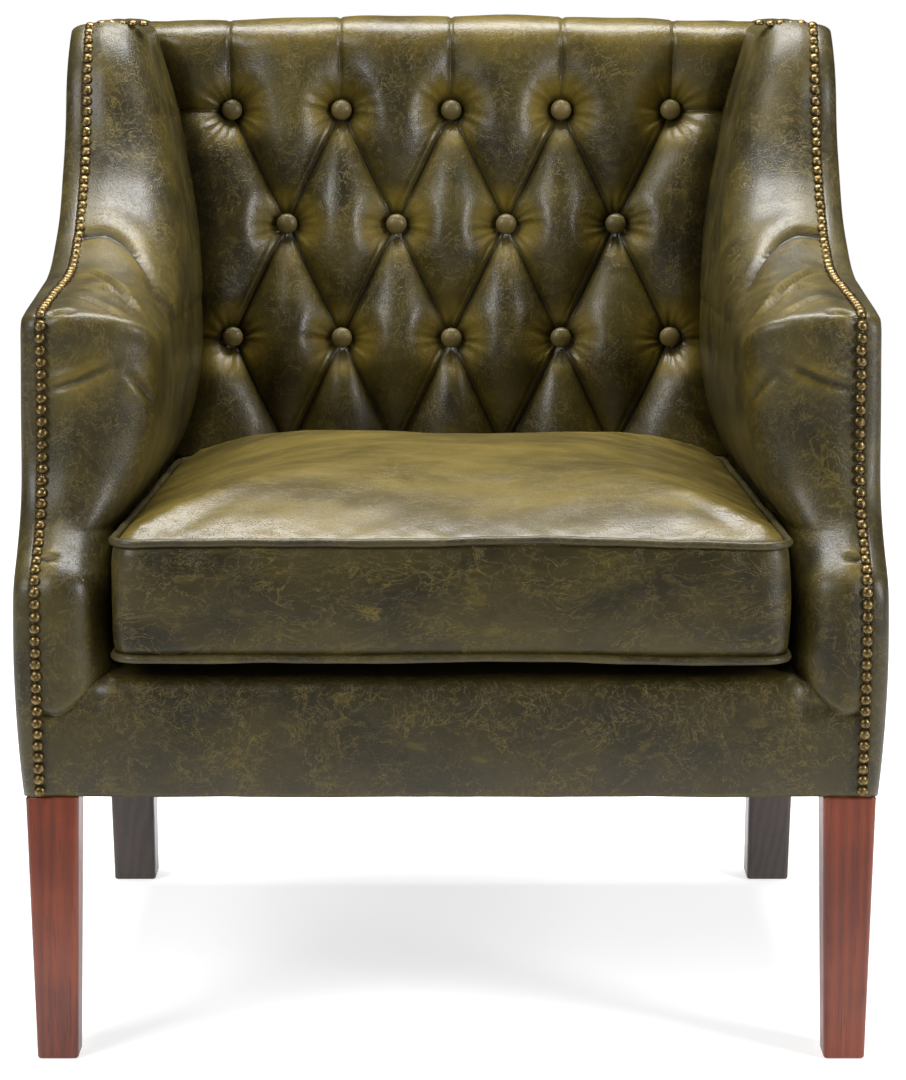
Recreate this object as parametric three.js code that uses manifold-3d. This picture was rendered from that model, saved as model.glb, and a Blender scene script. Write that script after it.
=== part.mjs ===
// Button-tufted leather armchair with low wings, a loose seat cushion and nailed edges.
// Millimetres, +Z up. The chair faces -Y, and "left" is the side at -X.
import * as THREE from "three";
import { mergeVertices } from "three/addons/utils/BufferGeometryUtils.js";
import Module from "manifold-3d";

const wasm = await Module();
wasm.setup();

// ---- Driving sizes --------------------------------------------------------------------------

const overallWidth = 732; // across the widest part of the outside panels
const overallDepth = 690; // cushion front to the rear of the top rail
const overallHeight = 868; // floor to the top of the back
const clearance = 0.3; // between pieces that touch
const leather = 2.5; // upholstery leather with its backing
const looseness = 0.4; // between the foam and the leather over it

const legHeight = 229.7; // floor to the underside of the frame
const frontLegTop = 45; // square section at the frame
const frontLegFoot = 35; // square section at the floor
const rearLegTop = 46;
const rearLegFoot = 42;
const rearLegRake = 42; // how far the rear foot stands behind its top

const timber = 28; // thickness of the frame boards
const railHeight = 66; // seat rails
const postDepth = 40; // back posts, front to rear
const armPostDepth = 42;
const armRailHeight = 46;
const edgePadding = 8; // wadding between a board's edge and the leather

const nailWidth = 9.5; // across one nail head
const nailRise = 3.4; // how far a head stands out
const nailPitch = 10.1;
const nailInset = 18; // nail line in from the widest part of the side
const sideTaper = 8; // how much the nail line moves in from the arm front to the wing

const cushionOverhang = 20; // cushion front ahead of the front border
const kneeForward = 10; // lower arm front ahead of the foot of the border
const kneeHeight = 419;
const armSetback = 67; // upright arm front behind the foot of the border
const armHeight = 632; // top of the arm at its front corner
const armRise = 19; // further rise of the arm top up to the wing
const wingStart = 235; // where the arm top turns up into the wing
const wingSetback = 440; // top front corner of the wing
const wingCorner = 42; // rounding of that corner
const roll = 38; // rounding of the padding on the inside of arm and wing
const kneeRoll = 18; // the same on the lower arm front
const armThickness = 98; // arm padding, nail line to the inside, above the cushion
const kneeThickness = 58; // the same below the cushion's top edge
const wingThickness = 57; // the same at the top of the wing
const bulgeHeight = 350; // where the outside panels are fullest
const facePuff = 2.5; // how far the padded front faces swell

const backRake = 64; // how far the outside back leans over its height
const backDepth = 118; // inside back to outside back at the seat
const backTopDepth = 108; // the same at the top
const coverStep = 11; // depth of the top cover over the posts
const backCrown = 14; // swell of the inside back at mid width
const tuftPitch = 107; // between buttons in a row
const tuftRise = 110; // between rows
const tuftLowest = 563; // height of the lowest row
const tuftSink = 20; // how deep a button pulls the leather in
const buttonRadius = 10;
const buttonHeight = 6.5;
const stemGap = 3; // stem to the bottom of the pit
const buttonStem = 4; // from the pit of the tuft to the back of the head

const seatHeight = 448; // where the padding of arms and back starts to swell over the cushion
const cushionThickness = 96; // between the two pipings
const cushionCrown = 44; // rise of the middle of the cushion above its piping
const cushionSag = 5;
const cushionGap = 4; // cushion side to arm
const cushionCorner = 30;
const cushionTaper = 17; // each side, front to rear
const piping = 3.5; // radius of the piping cord
const boxingSwell = 4;

const deckThickness = 48.1;
const noseDrop = 14; // front edge of the platform below its level part
const borderReturn = 90; // leather carried back over the front edge
const webbingWidth = 80;
const webbingThickness = 2;
const webbingCount = 3;
const dustCover = 1.2;

// ---- Heights and lines worked out from the sizes --------------------------------------------

const yOffset = overallDepth / 2 - cushionOverhang; // depth behind the border foot, to Y
const halfWidth = overallWidth / 2;
const frameBase = legHeight + clearance;
const railTop = frameBase + railHeight;
const armBase = railTop + 4;
const deckTop = railTop + webbingThickness + 2 * clearance + deckThickness;
const boardOut = halfWidth - 32; // outer face of the side frames
const boardIn = boardOut - timber;
const cushionBottom = deckTop + clearance + cushionSag; // its sagging middle rests on the pad
const cushionTop = cushionBottom + cushionThickness;
const rearTop = overallDepth - cushionOverhang; // outer face of the back at the top
const cushionHalf = halfWidth - nailInset - kneeThickness - cushionGap - piping;

const mix = (a, b, t) => a + (b - a) * t;
const clamp01 = (t) => Math.min(1, Math.max(0, t));
const smooth = (t) => clamp01(t) ** 2 * (3 - 2 * clamp01(t));

// Depth of the outside back's outer face at a height.
function backLine(z) {
  return rearTop - backRake * (1 - (z - legHeight) / (overallHeight - legHeight));
}
const postRear = (z) => backLine(z) - leather - 2;
const postFront = (z) => postRear(z) - postDepth;

// Depth of the inside back's front face, before tufting.
function backFace(z) {
  const seat = Math.max(z, seatHeight);
  const up = (seat - seatHeight) / (overallHeight - seatHeight);
  return backLine(seat) - mix(backDepth, backTopDepth, up) + 0.1 * (seat - z);
}

// The same with the swell of the padding, which fades out behind the cushion.
function backSwell(x, z) {
  const half = insideLine(overallDepth, z);
  const swell = backCrown * smooth((z - seatHeight) / 110);
  return backFace(z) - swell * (1 - clamp01(Math.abs(x) / half) ** 2);
}

// Distance of the nail line from the middle of the chair at a depth.
function nailLine(d) {
  const along = (d - armSetback) / (wingStart - armSetback);
  return halfWidth - nailInset - sideTaper * smooth(along);
}

const cushionRear = backFace(seatHeight) - 8;

// Distance of the inside of the arm or wing from the middle of the chair.
function insideLine(d, z) {
  const back = clamp01(d / cushionRear);
  const beside = halfWidth - nailInset - kneeThickness - cushionTaper * back;
  const over = halfWidth - nailInset - armThickness - 6 * back;
  const wingTop = halfWidth - nailInset - wingThickness - 4 * back;
  const armToWing = clamp01((z - armHeight + 10) / (overallHeight - armHeight)) ** 1.6;
  const arm = mix(beside, over, smooth((z - seatHeight - 12) / 72));
  return mix(arm, Math.max(wingTop, over), z > armHeight - 10 ? armToWing : 0);
}

// ---- The edge of the side, seen from the side: [depth, height] from the floor up --------------

function curve(points, parts, skipFirst = true) {
  const v = points.map(([d, z]) => new THREE.Vector3(d, z, 0));
  const path =
    v.length === 4
      ? new THREE.CubicBezierCurve3(...v)
      : new THREE.QuadraticBezierCurve3(...v);
  const out = path.getPoints(parts).map((p) => [p.x, p.y]);
  return skipFirst ? out.slice(1) : out;
}

function sideEdge() {
  const armTop = armHeight + armRise;
  const turn = kneeHeight + 0.3 * (armHeight - kneeHeight) + 62;
  const wingRise = overallHeight - armTop;
  return [
    ...curve([[2, frameBase], [-kneeForward * 1.3, mix(frameBase, kneeHeight, 0.5)],
      [-kneeForward, kneeHeight]], 3, false),
    ...curve([[-kneeForward, kneeHeight], [0.5 * armSetback, kneeHeight + 27],
      [armSetback, kneeHeight + 42], [armSetback, turn]], 5),
    [armSetback, armHeight - 7],
    [armSetback + 6, armHeight],
    ...curve([[armSetback + 6, armHeight], [mix(armSetback, wingStart, 0.5), armHeight + 9],
      [wingStart, armTop]], 3),
    ...curve([[wingStart, armTop], [mix(wingStart, wingSetback, 0.42), armTop + 0.08 * wingRise],
      [mix(wingStart, wingSetback, 0.73), armTop + 0.39 * wingRise],
      [wingSetback - wingCorner, overallHeight - 1.4 * wingCorner]], 5),
    ...curve([[wingSetback - wingCorner, overallHeight - 1.4 * wingCorner],
      [wingSetback - 0.76 * wingCorner, overallHeight - 0.4 * wingCorner],
      [wingSetback, overallHeight]], 3),
  ];
}

// Depth of the edge at a height.
function edgeAt(edge, z) {
  for (let i = 1; i < edge.length; i++)
    if (z <= edge[i][1]) {
      const [a, b] = [edge[i - 1], edge[i]];
      return mix(a[0], b[0], (z - a[1]) / (b[1] - a[1]));
    }
  return edge[edge.length - 1][0];
}

// The same edge moved into the padding by a distance. Points that a corner swallows are dropped.
function inset(edge, distance) {
  const moved = edge.map(([d, z], i) => {
    const before = edge[Math.max(0, i - 1)];
    const after = edge[Math.min(edge.length - 1, i + 1)];
    const [td, tz] = [after[0] - before[0], after[1] - before[1]];
    const length = Math.hypot(td, tz);
    return [d + (distance * tz) / length, z - (distance * td) / length];
  });
  return moved.filter(([, z], i) => moved.slice(0, i).every((p) => p[1] < z - 0.5));
}

// Shortest distance from a point to the front edge of the side.
function fromEdge(edge, d, z) {
  let best = Infinity;
  for (let i = 1; i < edge.length; i++) {
    const [a, b] = [edge[i - 1], edge[i]];
    const [u, v] = [b[0] - a[0], b[1] - a[1]];
    const t = clamp01(((d - a[0]) * u + (z - a[1]) * v) / (u * u + v * v));
    best = Math.min(best, Math.hypot(d - a[0] - t * u, z - a[1] - t * v));
  }
  return best;
}

// How far a rounded edge falls away from a face at a distance in from its rim.
function rounding(radius, distance) {
  const t = clamp01(distance / radius);
  return radius * (1 - Math.sqrt(1 - (1 - t) ** 2));
}

// ---- Solids ---------------------------------------------------------------------------------

function geometryOf(points, faces) {
  const geometry = new THREE.BufferGeometry();
  geometry.setAttribute("position", new THREE.Float32BufferAttribute(points.flat(), 3));
  geometry.setIndex(faces.flat());
  return facingOut(mergeVertices(geometry, 1e-4));
}

// Turns every face round if the solid's volume comes out negative.
function facingOut(geometry) {
  const p = geometry.getAttribute("position");
  const index = Array.from(geometry.index.array);
  const [a, b, c] = [new THREE.Vector3(), new THREE.Vector3(), new THREE.Vector3()];
  let volume = 0;
  for (let i = 0; i < index.length; i += 3) {
    a.fromBufferAttribute(p, index[i]);
    b.fromBufferAttribute(p, index[i + 1]);
    c.fromBufferAttribute(p, index[i + 2]);
    volume += a.dot(b.cross(c));
  }
  if (volume < 0)
    for (let i = 0; i < index.length; i += 3)
      [index[i + 1], index[i + 2]] = [index[i + 2], index[i + 1]];
  geometry.setIndex(index);
  return geometry;
}

// Joins closed loops of equal length into a solid. Ends are capped, or the last joins the first.
function loft(loops, ring = false) {
  const n = loops[0].length;
  const points = loops.flat();
  const faces = [];
  const spans = ring ? loops.length : loops.length - 1;
  for (let k = 0; k < spans; k++)
    for (let i = 0; i < n; i++) {
      const a = k * n + i;
      const b = k * n + ((i + 1) % n);
      const c = ((k + 1) % loops.length) * n + ((i + 1) % n);
      const d = ((k + 1) % loops.length) * n + i;
      faces.push([a, b, c], [a, c, d]);
    }
  if (!ring)
    for (const [k, flip] of [[0, true], [loops.length - 1, false]])
      for (const t of capOf(loops[k])) {
        const face = t.map((i) => k * n + i);
        faces.push(flip ? [face[0], face[2], face[1]] : face);
      }
  return geometryOf(points, faces);
}

// Triangles that close a loop, wound the way the loop runs.
function capOf(loop) {
  const normal = new THREE.Vector3();
  loop.forEach((p, i) => {
    const q = loop[(i + 1) % loop.length];
    normal.x += (p[1] - q[1]) * (p[2] + q[2]);
    normal.y += (p[2] - q[2]) * (p[0] + q[0]);
    normal.z += (p[0] - q[0]) * (p[1] + q[1]);
  });
  const size = normal.toArray().map(Math.abs);
  const axis = size.indexOf(Math.max(...size));
  const [u, v] = [[1, 2], [2, 0], [0, 1]][axis];
  const turn = Math.sign(normal.getComponent(axis));
  const flat = loop.map((p) => [p[u], turn * p[v]]);
  const area = (a, b, c) => (flat[b][0] - flat[a][0]) * (flat[c][1] - flat[a][1]) -
    (flat[c][0] - flat[a][0]) * (flat[b][1] - flat[a][1]);
  const left = flat.map((_, i) => i);
  const faces = [];
  while (left.length > 3) {
    let best = [-Infinity, 0];
    left.forEach((b, i) => {
      const a = left.at(i - 1);
      const c = left[(i + 1) % left.length];
      const sides = [[a, b], [b, c], [c, a]].map(([p, q]) =>
        Math.hypot(flat[p][0] - flat[q][0], flat[p][1] - flat[q][1]));
      const blocked = left.some((p) => p !== a && p !== b && p !== c &&
        area(a, b, p) > -1e-6 && area(b, c, p) > -1e-6 && area(c, a, p) > -1e-6);
      const fatness = blocked ? -Infinity : area(a, b, c) / Math.max(...sides) ** 2;
      if (fatness > best[0]) best = [fatness, i];
    });
    const i = best[1];
    faces.push([left.at(i - 1), left[i], left[(i + 1) % left.length]]);
    left.splice(i, 1);
  }
  return [...faces, left];
}

// A board or sheet: an outline of [depth, height] points, carried across from x0 to x1.
function board(outline, x0, x1) {
  const shape = new THREE.Shape(outline.map(([d, z]) => new THREE.Vector2(d - yOffset, z)));
  const geometry = new THREE.ExtrudeGeometry(shape, { depth: x1 - x0, bevelEnabled: false });
  const swap = new THREE.Matrix4().set(0, 0, 1, x0, 1, 0, 0, 0, 0, 1, 0, 0, 0, 0, 0, 1);
  return plain(geometry.applyMatrix4(swap));
}

// A flat sheet: an outline of [x, depth] points, from height z0 to z1.
function slab(outline, z0, z1) {
  const shape = new THREE.Shape(outline.map(([x, d]) => new THREE.Vector2(x, d - yOffset)));
  const geometry = new THREE.ExtrudeGeometry(shape, { depth: z1 - z0, bevelEnabled: false });
  return plain(geometry.translate(0, 0, z0));
}

function block(x0, x1, d0, d1, z0, z1) {
  const geometry = new THREE.BoxGeometry(x1 - x0, d1 - d0, z1 - z0);
  return plain(geometry.translate((x0 + x1) / 2, (d0 + d1) / 2 - yOffset, (z0 + z1) / 2));
}

// Position-only geometry with shared corners.
function plain(geometry) {
  const bare = new THREE.BufferGeometry();
  bare.setAttribute("position", geometry.getAttribute("position"));
  if (geometry.index) bare.setIndex(geometry.index);
  return facingOut(mergeVertices(bare, 1e-4));
}

function solidOf(geometry) {
  const shared = plain(geometry);
  return new wasm.Manifold(
    new wasm.Mesh({
      numProp: 3,
      vertProperties: Float32Array.from(shared.getAttribute("position").array),
      triVerts: Uint32Array.from(shared.index.array),
    }),
  );
}

function fromSolid(solid) {
  const made = solid.getMesh();
  const geometry = new THREE.BufferGeometry();
  geometry.setAttribute("position", new THREE.Float32BufferAttribute(made.vertProperties, 3));
  geometry.setIndex(Array.from(made.triVerts));
  return geometry;
}

const cut = (a, ...tools) =>
  fromSolid(tools.reduce((left, tool) => left.subtract(solidOf(tool)), solidOf(a)));
const common = (a, b) => fromSolid(solidOf(a).intersect(solidOf(b)));
const join = (a, b) => fromSolid(solidOf(a).add(solidOf(b)));

// The same solid on the other side of the chair.
function mirrored(geometry) {
  return facingOut(geometry.clone().scale(-1, 1, 1));
}

// ---- Finishes -------------------------------------------------------------------------------

const finish = {
  leather: { color: 0x4b4720, roughness: 0.4, metalness: 0 },
  leatherDark: { color: 0x3a3a1e, roughness: 0.45, metalness: 0 },
  piping: { color: 0x3d3b1c, roughness: 0.45, metalness: 0 },
  brass: { color: 0x8a6a45, roughness: 0.35, metalness: 0.9 },
  mahogany: { color: 0x7a2f14, roughness: 0.35, metalness: 0 },
  darkWood: { color: 0x2a1a15, roughness: 0.4, metalness: 0 },
  beech: { color: 0xc29a66, roughness: 0.7, metalness: 0 },
  foam: { color: 0xe6dcb4, roughness: 0.95, metalness: 0 },
  webbing: { color: 0x2b2b2b, roughness: 0.9, metalness: 0 },
  cloth: { color: 0x1c1c1c, roughness: 0.95, metalness: 0 },
};

const chair = new THREE.Group();
chair.name = "armchair";

function section(name) {
  const group = new THREE.Group();
  group.name = name;
  chair.add(group);
  return group;
}

function add(group, name, geometry, look) {
  const shown = geometry.toNonIndexed();
  shown.computeVertexNormals();
  const mesh = new THREE.Mesh(shown, new THREE.MeshStandardMaterial(look));
  mesh.name = name;
  group.add(mesh);
}

// Adds a solid drawn for the right side (+X), and its mirror image on the left.
function addPair(group, name, geometry, look) {
  add(group, `${name}_right`, geometry, look);
  add(group, `${name}_left`, mirrored(geometry), look);
}

// ---- Legs -----------------------------------------------------------------------------------

// A square leg: centre [x, depth], size and height of its top and of its foot.
function leg([topX, topD, topSize], [footX, footD, footSize]) {
  const square = (x, d, size, z) => {
    const h = size / 2;
    const e = 2.5;
    return [[-h + e, -h], [h - e, -h], [h, -h + e], [h, h - e], [h - e, h], [-h + e, h],
      [-h, h - e], [-h, -h + e]].map(([u, v]) => [x + u, d + v - yOffset, z]);
  };
  return loft([square(footX, footD, footSize, 0), square(topX, topD, topSize, legHeight)]);
}

function addLegs() {
  const group = section("legs");
  const out = halfWidth - 7.5;
  const front = out - frontLegTop / 2;
  const frontDepth = 3 + frontLegTop / 2;
  addPair(group, "front_leg",
    leg([front, frontDepth, frontLegTop], [front - 0.5, frontDepth - 2, frontLegFoot]),
    finish.mahogany);
  const rear = out - 12 - rearLegTop / 2;
  const rearDepth = postRear(legHeight) - rearLegTop / 2;
  addPair(group, "rear_leg",
    leg([rear, rearDepth, rearLegTop], [rear, rearDepth + rearLegRake, rearLegFoot]),
    finish.darkWood);
}

// ---- Timber frame ---------------------------------------------------------------------------

// Outline of a back post or of anything that stands in its line, between two heights.
function postOutline(z0, z1, front = postFront, rear = postRear) {
  return [[front(z0), z0], [rear(z0), z0], [rear(z1), z1], [front(z1), z1]];
}

function addFrame() {
  const group = section("frame");
  const gap = clearance;
  const frontRail = 12;
  const frontRailRear = frontRail + timber;
  const postFoot = postFront(frameBase);
  const edge = inset(sideEdge(), leather + edgePadding + clearance);
  const top = overallHeight - leather - edgePadding - 4;

  add(group, "front_seat_rail",
    block(-boardOut, boardOut, frontRail, frontRailRear, frameBase, railTop), finish.beech);
  add(group, "rear_seat_rail",
    board(postOutline(frameBase, railTop, (z) => postRear(z) - timber), -boardIn + gap,
      boardIn - gap), finish.beech);
  addPair(group, "side_seat_rail",
    block(boardIn, boardOut, frontRailRear + gap, postFoot - gap, frameBase, railTop),
    finish.beech);

  // The arm post is sawn to the shape of the arm front.
  const postBack = armSetback + leather + edgePadding + armPostDepth;
  const railFoot = armHeight - leather - edgePadding - 2 - armRailHeight;
  const postEdge = edge.filter(([d, z]) => d < postBack - 10 && z < armHeight - 12);
  const postTop = railFoot + armRailHeight - 2;
  addPair(group, "arm_post",
    board([[postBack, armBase], [edgeAt(edge, armBase), armBase],
      ...postEdge.filter(([, z]) => z > armBase + 4), [armSetback + leather + edgePadding + 2,
        postTop], [postBack, postTop]], boardIn, boardOut), finish.beech);

  const shelf = armHeight + armRise - leather - edgePadding - 8;
  addPair(group, "arm_rail",
    board([[postBack + gap, railFoot], [postFront(railFoot) - gap, railFoot],
      [postFront(shelf) - gap, shelf], [wingStart, shelf], [postBack + gap, postTop]],
    boardIn, boardOut), finish.beech);

  const wingEdge = edge.filter(([d, z]) => d > wingStart + 24 && z > shelf + gap + 4 && z < top - 3);
  const wingFoot = wingEdge[0][0] + 2;
  addPair(group, "wing_board",
    board([[wingFoot, shelf + gap], ...wingEdge, [wingSetback + 20, top],
      [postFront(top) - gap, top], [postFront(shelf + gap) - gap, shelf + gap]],
    boardIn, boardOut), finish.beech);

  addPair(group, "back_post", board(postOutline(frameBase, top), boardIn, boardOut),
    finish.beech);
  const rail = (z0, z1) => board(postOutline(z0, z1, (z) => postFront(z) + 2, (z) =>
    postFront(z) + 2 + timber), -boardIn + gap, boardIn - gap);
  add(group, "back_top_rail", rail(top - 64, top), finish.beech);
  add(group, "back_lower_rail", rail(deckTop + 12, deckTop + 62), finish.beech);
}

// ---- Seat platform --------------------------------------------------------------------------

function addPlatform() {
  const group = section("seat_platform");
  const gap = clearance;
  const rear = postFront(railTop) - 2;
  const half = insideLine(cushionRear, armBase) - 6;
  const span = (2 * half - webbingWidth) / (webbingCount - 1);
  for (let i = 0; i < webbingCount; i++) {
    const x = -half + webbingWidth / 2 + i * span;
    add(group, `seat_webbing_${i + 1}`,
      block(x - webbingWidth / 2, x + webbingWidth / 2, 16, postRear(railTop) - 6, railTop + gap,
        railTop + gap + webbingThickness), finish.webbing);
  }
  const padBase = railTop + 2 * gap + webbingThickness;
  const nose = 6 + leather;
  const rebate = deckTop - leather - gap; // lets the border's leather lie flush with the pad
  add(group, "seat_deck_pad",
    board([[nose, padBase], [rear, padBase], [rear, deckTop], [borderReturn + gap, deckTop],
      [borderReturn + gap, rebate], [nose + 16, rebate - noseDrop],
      [nose + 6, rebate - noseDrop - 5], [nose, rebate - noseDrop - 14]], -half, half),
    finish.foam);

  // Leather over the front rail and back over the front edge of the platform.
  const out = (z) => edgeAt(sideEdge(), Math.min(z, railTop)) + 1.5;
  const top = deckTop;
  const lip = top - noseDrop;
  const front = out(railTop);
  const skin = [[out(frameBase), frameBase], [out(frameBase + 30), frameBase + 30],
    [front - 1, railTop], [front + 1, lip - 14], [front + 8, lip - 4], [front + 19, lip],
    [borderReturn, top]];
  const under = [[borderReturn, top - leather], [nose + 15.5, lip - leather],
    [nose + 5.7, lip - leather - 5], [nose - gap, lip - leather - 14.5],
    [nose - gap, frameBase + 20], [nose - gap, frameBase]];
  const between = insideLine(borderReturn, armBase) - 1.5;
  const across = board([...skin, ...under], -between, between);
  const ends = board([skin[0], skin[1], skin[2], [skin[2][0], armBase - gap],
    [nose - gap, armBase - gap], [nose - gap, frameBase]],
  -nailLine(0) + gap / 2, nailLine(0) - gap / 2);
  add(group, "front_border", join(across, ends), finish.leather);

  const notch = frontLegTop + 12;
  const w = boardOut - 2;
  const back = postRear(frameBase) - 4;
  add(group, "dust_cover",
    slab([[-w + notch, 14], [w - notch, 14], [w - notch, 14 + notch], [w, 14 + notch],
      [w, back - notch], [w - notch, back - notch], [w - notch, back], [-w + notch, back],
      [-w + notch, back - notch], [-w, back - notch], [-w, 14 + notch], [-w + notch, 14 + notch]],
    legHeight - dustCover, legHeight), finish.cloth);
}

// ---- Arms and wings -------------------------------------------------------------------------

// The padded inside of one side, shrunk by an amount. Its outer, rear and lower faces grow
// instead, so that one size can be cut from another to leave an even skin.
function sidePadding(shrink) {
  const edge = sideEdge();
  const over = shrink === 0 ? 0 : 4;
  const start = armBase - 0.75 * over;
  const step = overallHeight - coverStep - over;
  const moved = inset(edge, shrink);
  const middle = moved.filter(([, z]) => z > start + 4 && Math.abs(z - step) > 3);
  const levels = [[start, false], ...middle.map(([, z]) => [z, z > step]), [step, false],
    [step + 0.02, true]].sort((a, b) => a[0] - b[0]);
  return loft(levels.map(([z, overPosts]) => {
    const d0 = edgeAt(moved, z);
    const d1 = overPosts ? backLine(z) - leather - clearance - 0.5 + over :
      postFront(z) - clearance + over;
    const radius = mix(kneeRoll, roll, smooth((z - seatHeight - 12) / 72));
    const face = (d) => insideLine(d, z) + shrink +
      rounding(radius, fromEdge(edge, d, z) - shrink * 0.6);
    const outer = nailLine(d0) - clearance / 2 + over;
    const loop = [[outer, d0], [mix(outer, face(d0), 0.5), d0 - facePuff], [face(d0), d0]];
    for (const depth of [6, 20, roll]) loop.push([face(d0 + depth), d0 + depth]);
    for (const t of [0.45, 1]) loop.push([face(mix(d0 + roll, d1, t)), mix(d0 + roll, d1, t)]);
    loop.push([outer, d1]);
    return loop.map(([x, d]) => [x, d - yOffset, z]);
  }));
}

// Everything on one side of the seam between arm and wing, as a cutting tool.
function pastSeam(above, gap) {
  const [d0, z0] = [wingStart + 60, armHeight + 52];
  const [d1, z1] = [overallDepth, armHeight - 50];
  const line = (d) => z0 + ((z1 - z0) * (d - d0)) / (d1 - d0) + (above ? gap : -gap);
  const far = above ? overallHeight + 60 : -60;
  return board([[-80, line(-80)], [overallDepth + 80, line(overallDepth + 80)],
    [overallDepth + 80, far], [-80, far]], 0, overallWidth);
}

// Distance of the outside panel from the middle of the chair, where it is fullest at a height.
function outsideLine(d, z) {
  const below = z < bulgeHeight ? 0.5 * ((bulgeHeight - z) / (bulgeHeight - legHeight)) ** 2 : 0;
  const swell = 1 - 0.35 * Math.abs((z - bulgeHeight) / (overallHeight - bulgeHeight)) - below;
  return mix(nailLine(d) + 9, halfWidth, swell) - 4 * smooth(d / rearTop);
}

// The skin on the outside of one side, from the nail line round to the rear.
function outsidePanel(shrink) {
  const edge = sideEdge();
  const start = shrink > 0 ? frameBase - 3 : frameBase;
  const moved = inset(edge, shrink);
  const levels = [[edgeAt(moved, start), start], ...moved.filter(([, z]) => z > start + 4)];
  const over = shrink > 0 ? 4 : 0;
  return loft(levels.map(([d0, z]) => {
    const d1 = backLine(z) - clearance + over - leather - 1;
    const face = (d) => outsideLine(d, z) - shrink -
      rounding(12, fromEdge(edge, d, z) - shrink * 0.6) * 0.8;
    const inner = nailLine(d0) + clearance / 2 - over;
    const loop = [[inner, d0], [face(d0), d0 + 1.5]];
    for (const step of [5, 15]) loop.push([face(d0 + step), d0 + step]);
    for (const t of [0.35, 0.7]) loop.push([face(mix(d0 + 15, d1, t)), mix(d0 + 15, d1, t)]);
    loop.push([face(d1) - 2, d1], [inner, d1]);
    return loop.map(([x, d]) => [x, d - yOffset, z]);
  }));
}

function addSides() {
  const group = section("sides");
  const skin = sidePadding(leather);
  const whole = sidePadding(0);
  const cover = cut(whole, skin);
  addPair(group, "arm_cover", common(cover, pastSeam(false, clearance / 2)), finish.leather);
  addPair(group, "wing_cover", common(cover, pastSeam(true, clearance / 2)), finish.leather);

  // The foam stops at the side frame, but wraps round the front and top edges of its boards.
  const room = inset(sideEdge(), leather + edgePadding);
  const ceiling = room[room.length - 1][1];
  const frameRoom = board([[room[0][0], 0], [overallDepth, 0], [overallDepth, ceiling],
    ...room.slice().reverse()], boardIn - clearance, overallWidth);
  const bounds = board([[-60, armBase], [postFront(armBase) - clearance, armBase],
    [postFront(overallHeight) - clearance, overallHeight], [-60, overallHeight]],
  0, halfWidth - nailInset - sideTaper - clearance);
  const filling = sidePadding(leather).translate(looseness, looseness, -looseness);
  const foam = cut(cut(common(filling, bounds), frameRoom), cover);
  addPair(group, "arm_foam", common(foam, pastSeam(false, clearance / 2)), finish.foam);
  addPair(group, "wing_foam", common(foam, pastSeam(true, clearance / 2)), finish.foam);

  addPair(group, "outside_panel", cut(outsidePanel(0), outsidePanel(leather)),
    finish.leatherDark);
}

// ---- Back -----------------------------------------------------------------------------------

// Where the buttons sit: [x, height], rows of five, four and five.
function buttonPlaces() {
  const places = [];
  for (const [row, count] of [[0, 5], [1, 4], [2, 5]])
    for (let i = 0; i < count; i++)
      places.push([(i - (count - 1) / 2) * tuftPitch, tuftLowest + row * tuftRise, row, i]);
  return places;
}

// How far the tufting pulls the inside back in at a point.
function tuft(x, z) {
  const near = Math.min(...buttonPlaces().map(([bx, bz]) => Math.hypot(x - bx, z - bz)));
  const u = x / tuftPitch;
  const v = (z - tuftLowest) / tuftRise;
  const fold = (t) => Math.abs(t / 2 - Math.round(t / 2)) * 2;
  const pleat = Math.min(fold(u * 2 + v), fold(u * 2 - v), 1);
  const inRows = smooth((z - tuftLowest + tuftRise) / 60) *
    smooth((tuftLowest + 3 * tuftRise - z) / 60);
  const pillow = 1 - clamp01(pleat / 0.55) ** 0.8;
  return tuftSink * Math.max(0.45 * pillow * inRows, Math.exp(-((near / 26) ** 2)));
}

// The padded back, shrunk by an amount on the faces that the leather covers.
function backPadding(shrink) {
  const over = shrink > 0 ? 4 : 0;
  const foot = deckTop + 4 - 0.75 * over;
  const top = overallHeight - shrink;
  const rows = [foot, seatHeight, seatHeight + 55];
  for (let z = tuftLowest; z < overallHeight - 35; z += tuftRise / 4) rows.push(z);
  const half = (z) => insideLine(overallDepth, z) + 1 + over;
  const count = Math.floor((half(armHeight - 40) - 12) / (tuftPitch / 4));
  const stations = Array.from({ length: 2 * count + 1 }, (_, i) => ((i - count) * tuftPitch) / 4);
  return loft([-Infinity, ...stations, Infinity].map((s) => {
    const atSide = !Number.isFinite(s);
    const across = (z) => (atSide ? Math.sign(s) * half(z) : s);
    const front = (z) => backSwell(across(z), z) + shrink + (atSide ? 12 : tuft(s, z));
    const lip = backFace(top) + shrink;
    const rear = (z) => backLine(z) - leather - clearance - 0.5 + over;
    const low = overallHeight - 26 - over;
    const loop = [...rows.map((z) => [front(z), z]), [front(top - 14) + 3, top - 12],
      [lip + 12, top - 2], [lip + 30, top], [rear(top - 8) - 10, top], [rear(top - 8), top - 8],
      [rear(low), low], [postFront(low) - clearance + over, low],
      [postFront(foot) - clearance + over, foot]];
    return loop.map(([d, z]) => [across(z), d - yOffset, z]);
  }));
}

// A covered button on its stem, square to the leaning back.
function button(x, z) {
  const r = buttonRadius;
  const profile = [[0, 0], [0.3 * r, 0], [0.3 * r, buttonStem - 1], [r, buttonStem + 1],
    [0.78 * r, buttonStem + 0.75 * buttonHeight], [0, buttonStem + buttonHeight]];
  const dome = new THREE.LatheGeometry(profile.map((p) => new THREE.Vector2(...p)), 8);
  const lean = Math.atan2(backFace(z + 10) - backFace(z - 10), 20);
  dome.rotateX(Math.PI).rotateX(-lean);
  return plain(dome.translate(x, backSwell(x, z) + tuftSink - stemGap - yOffset, z));
}

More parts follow.
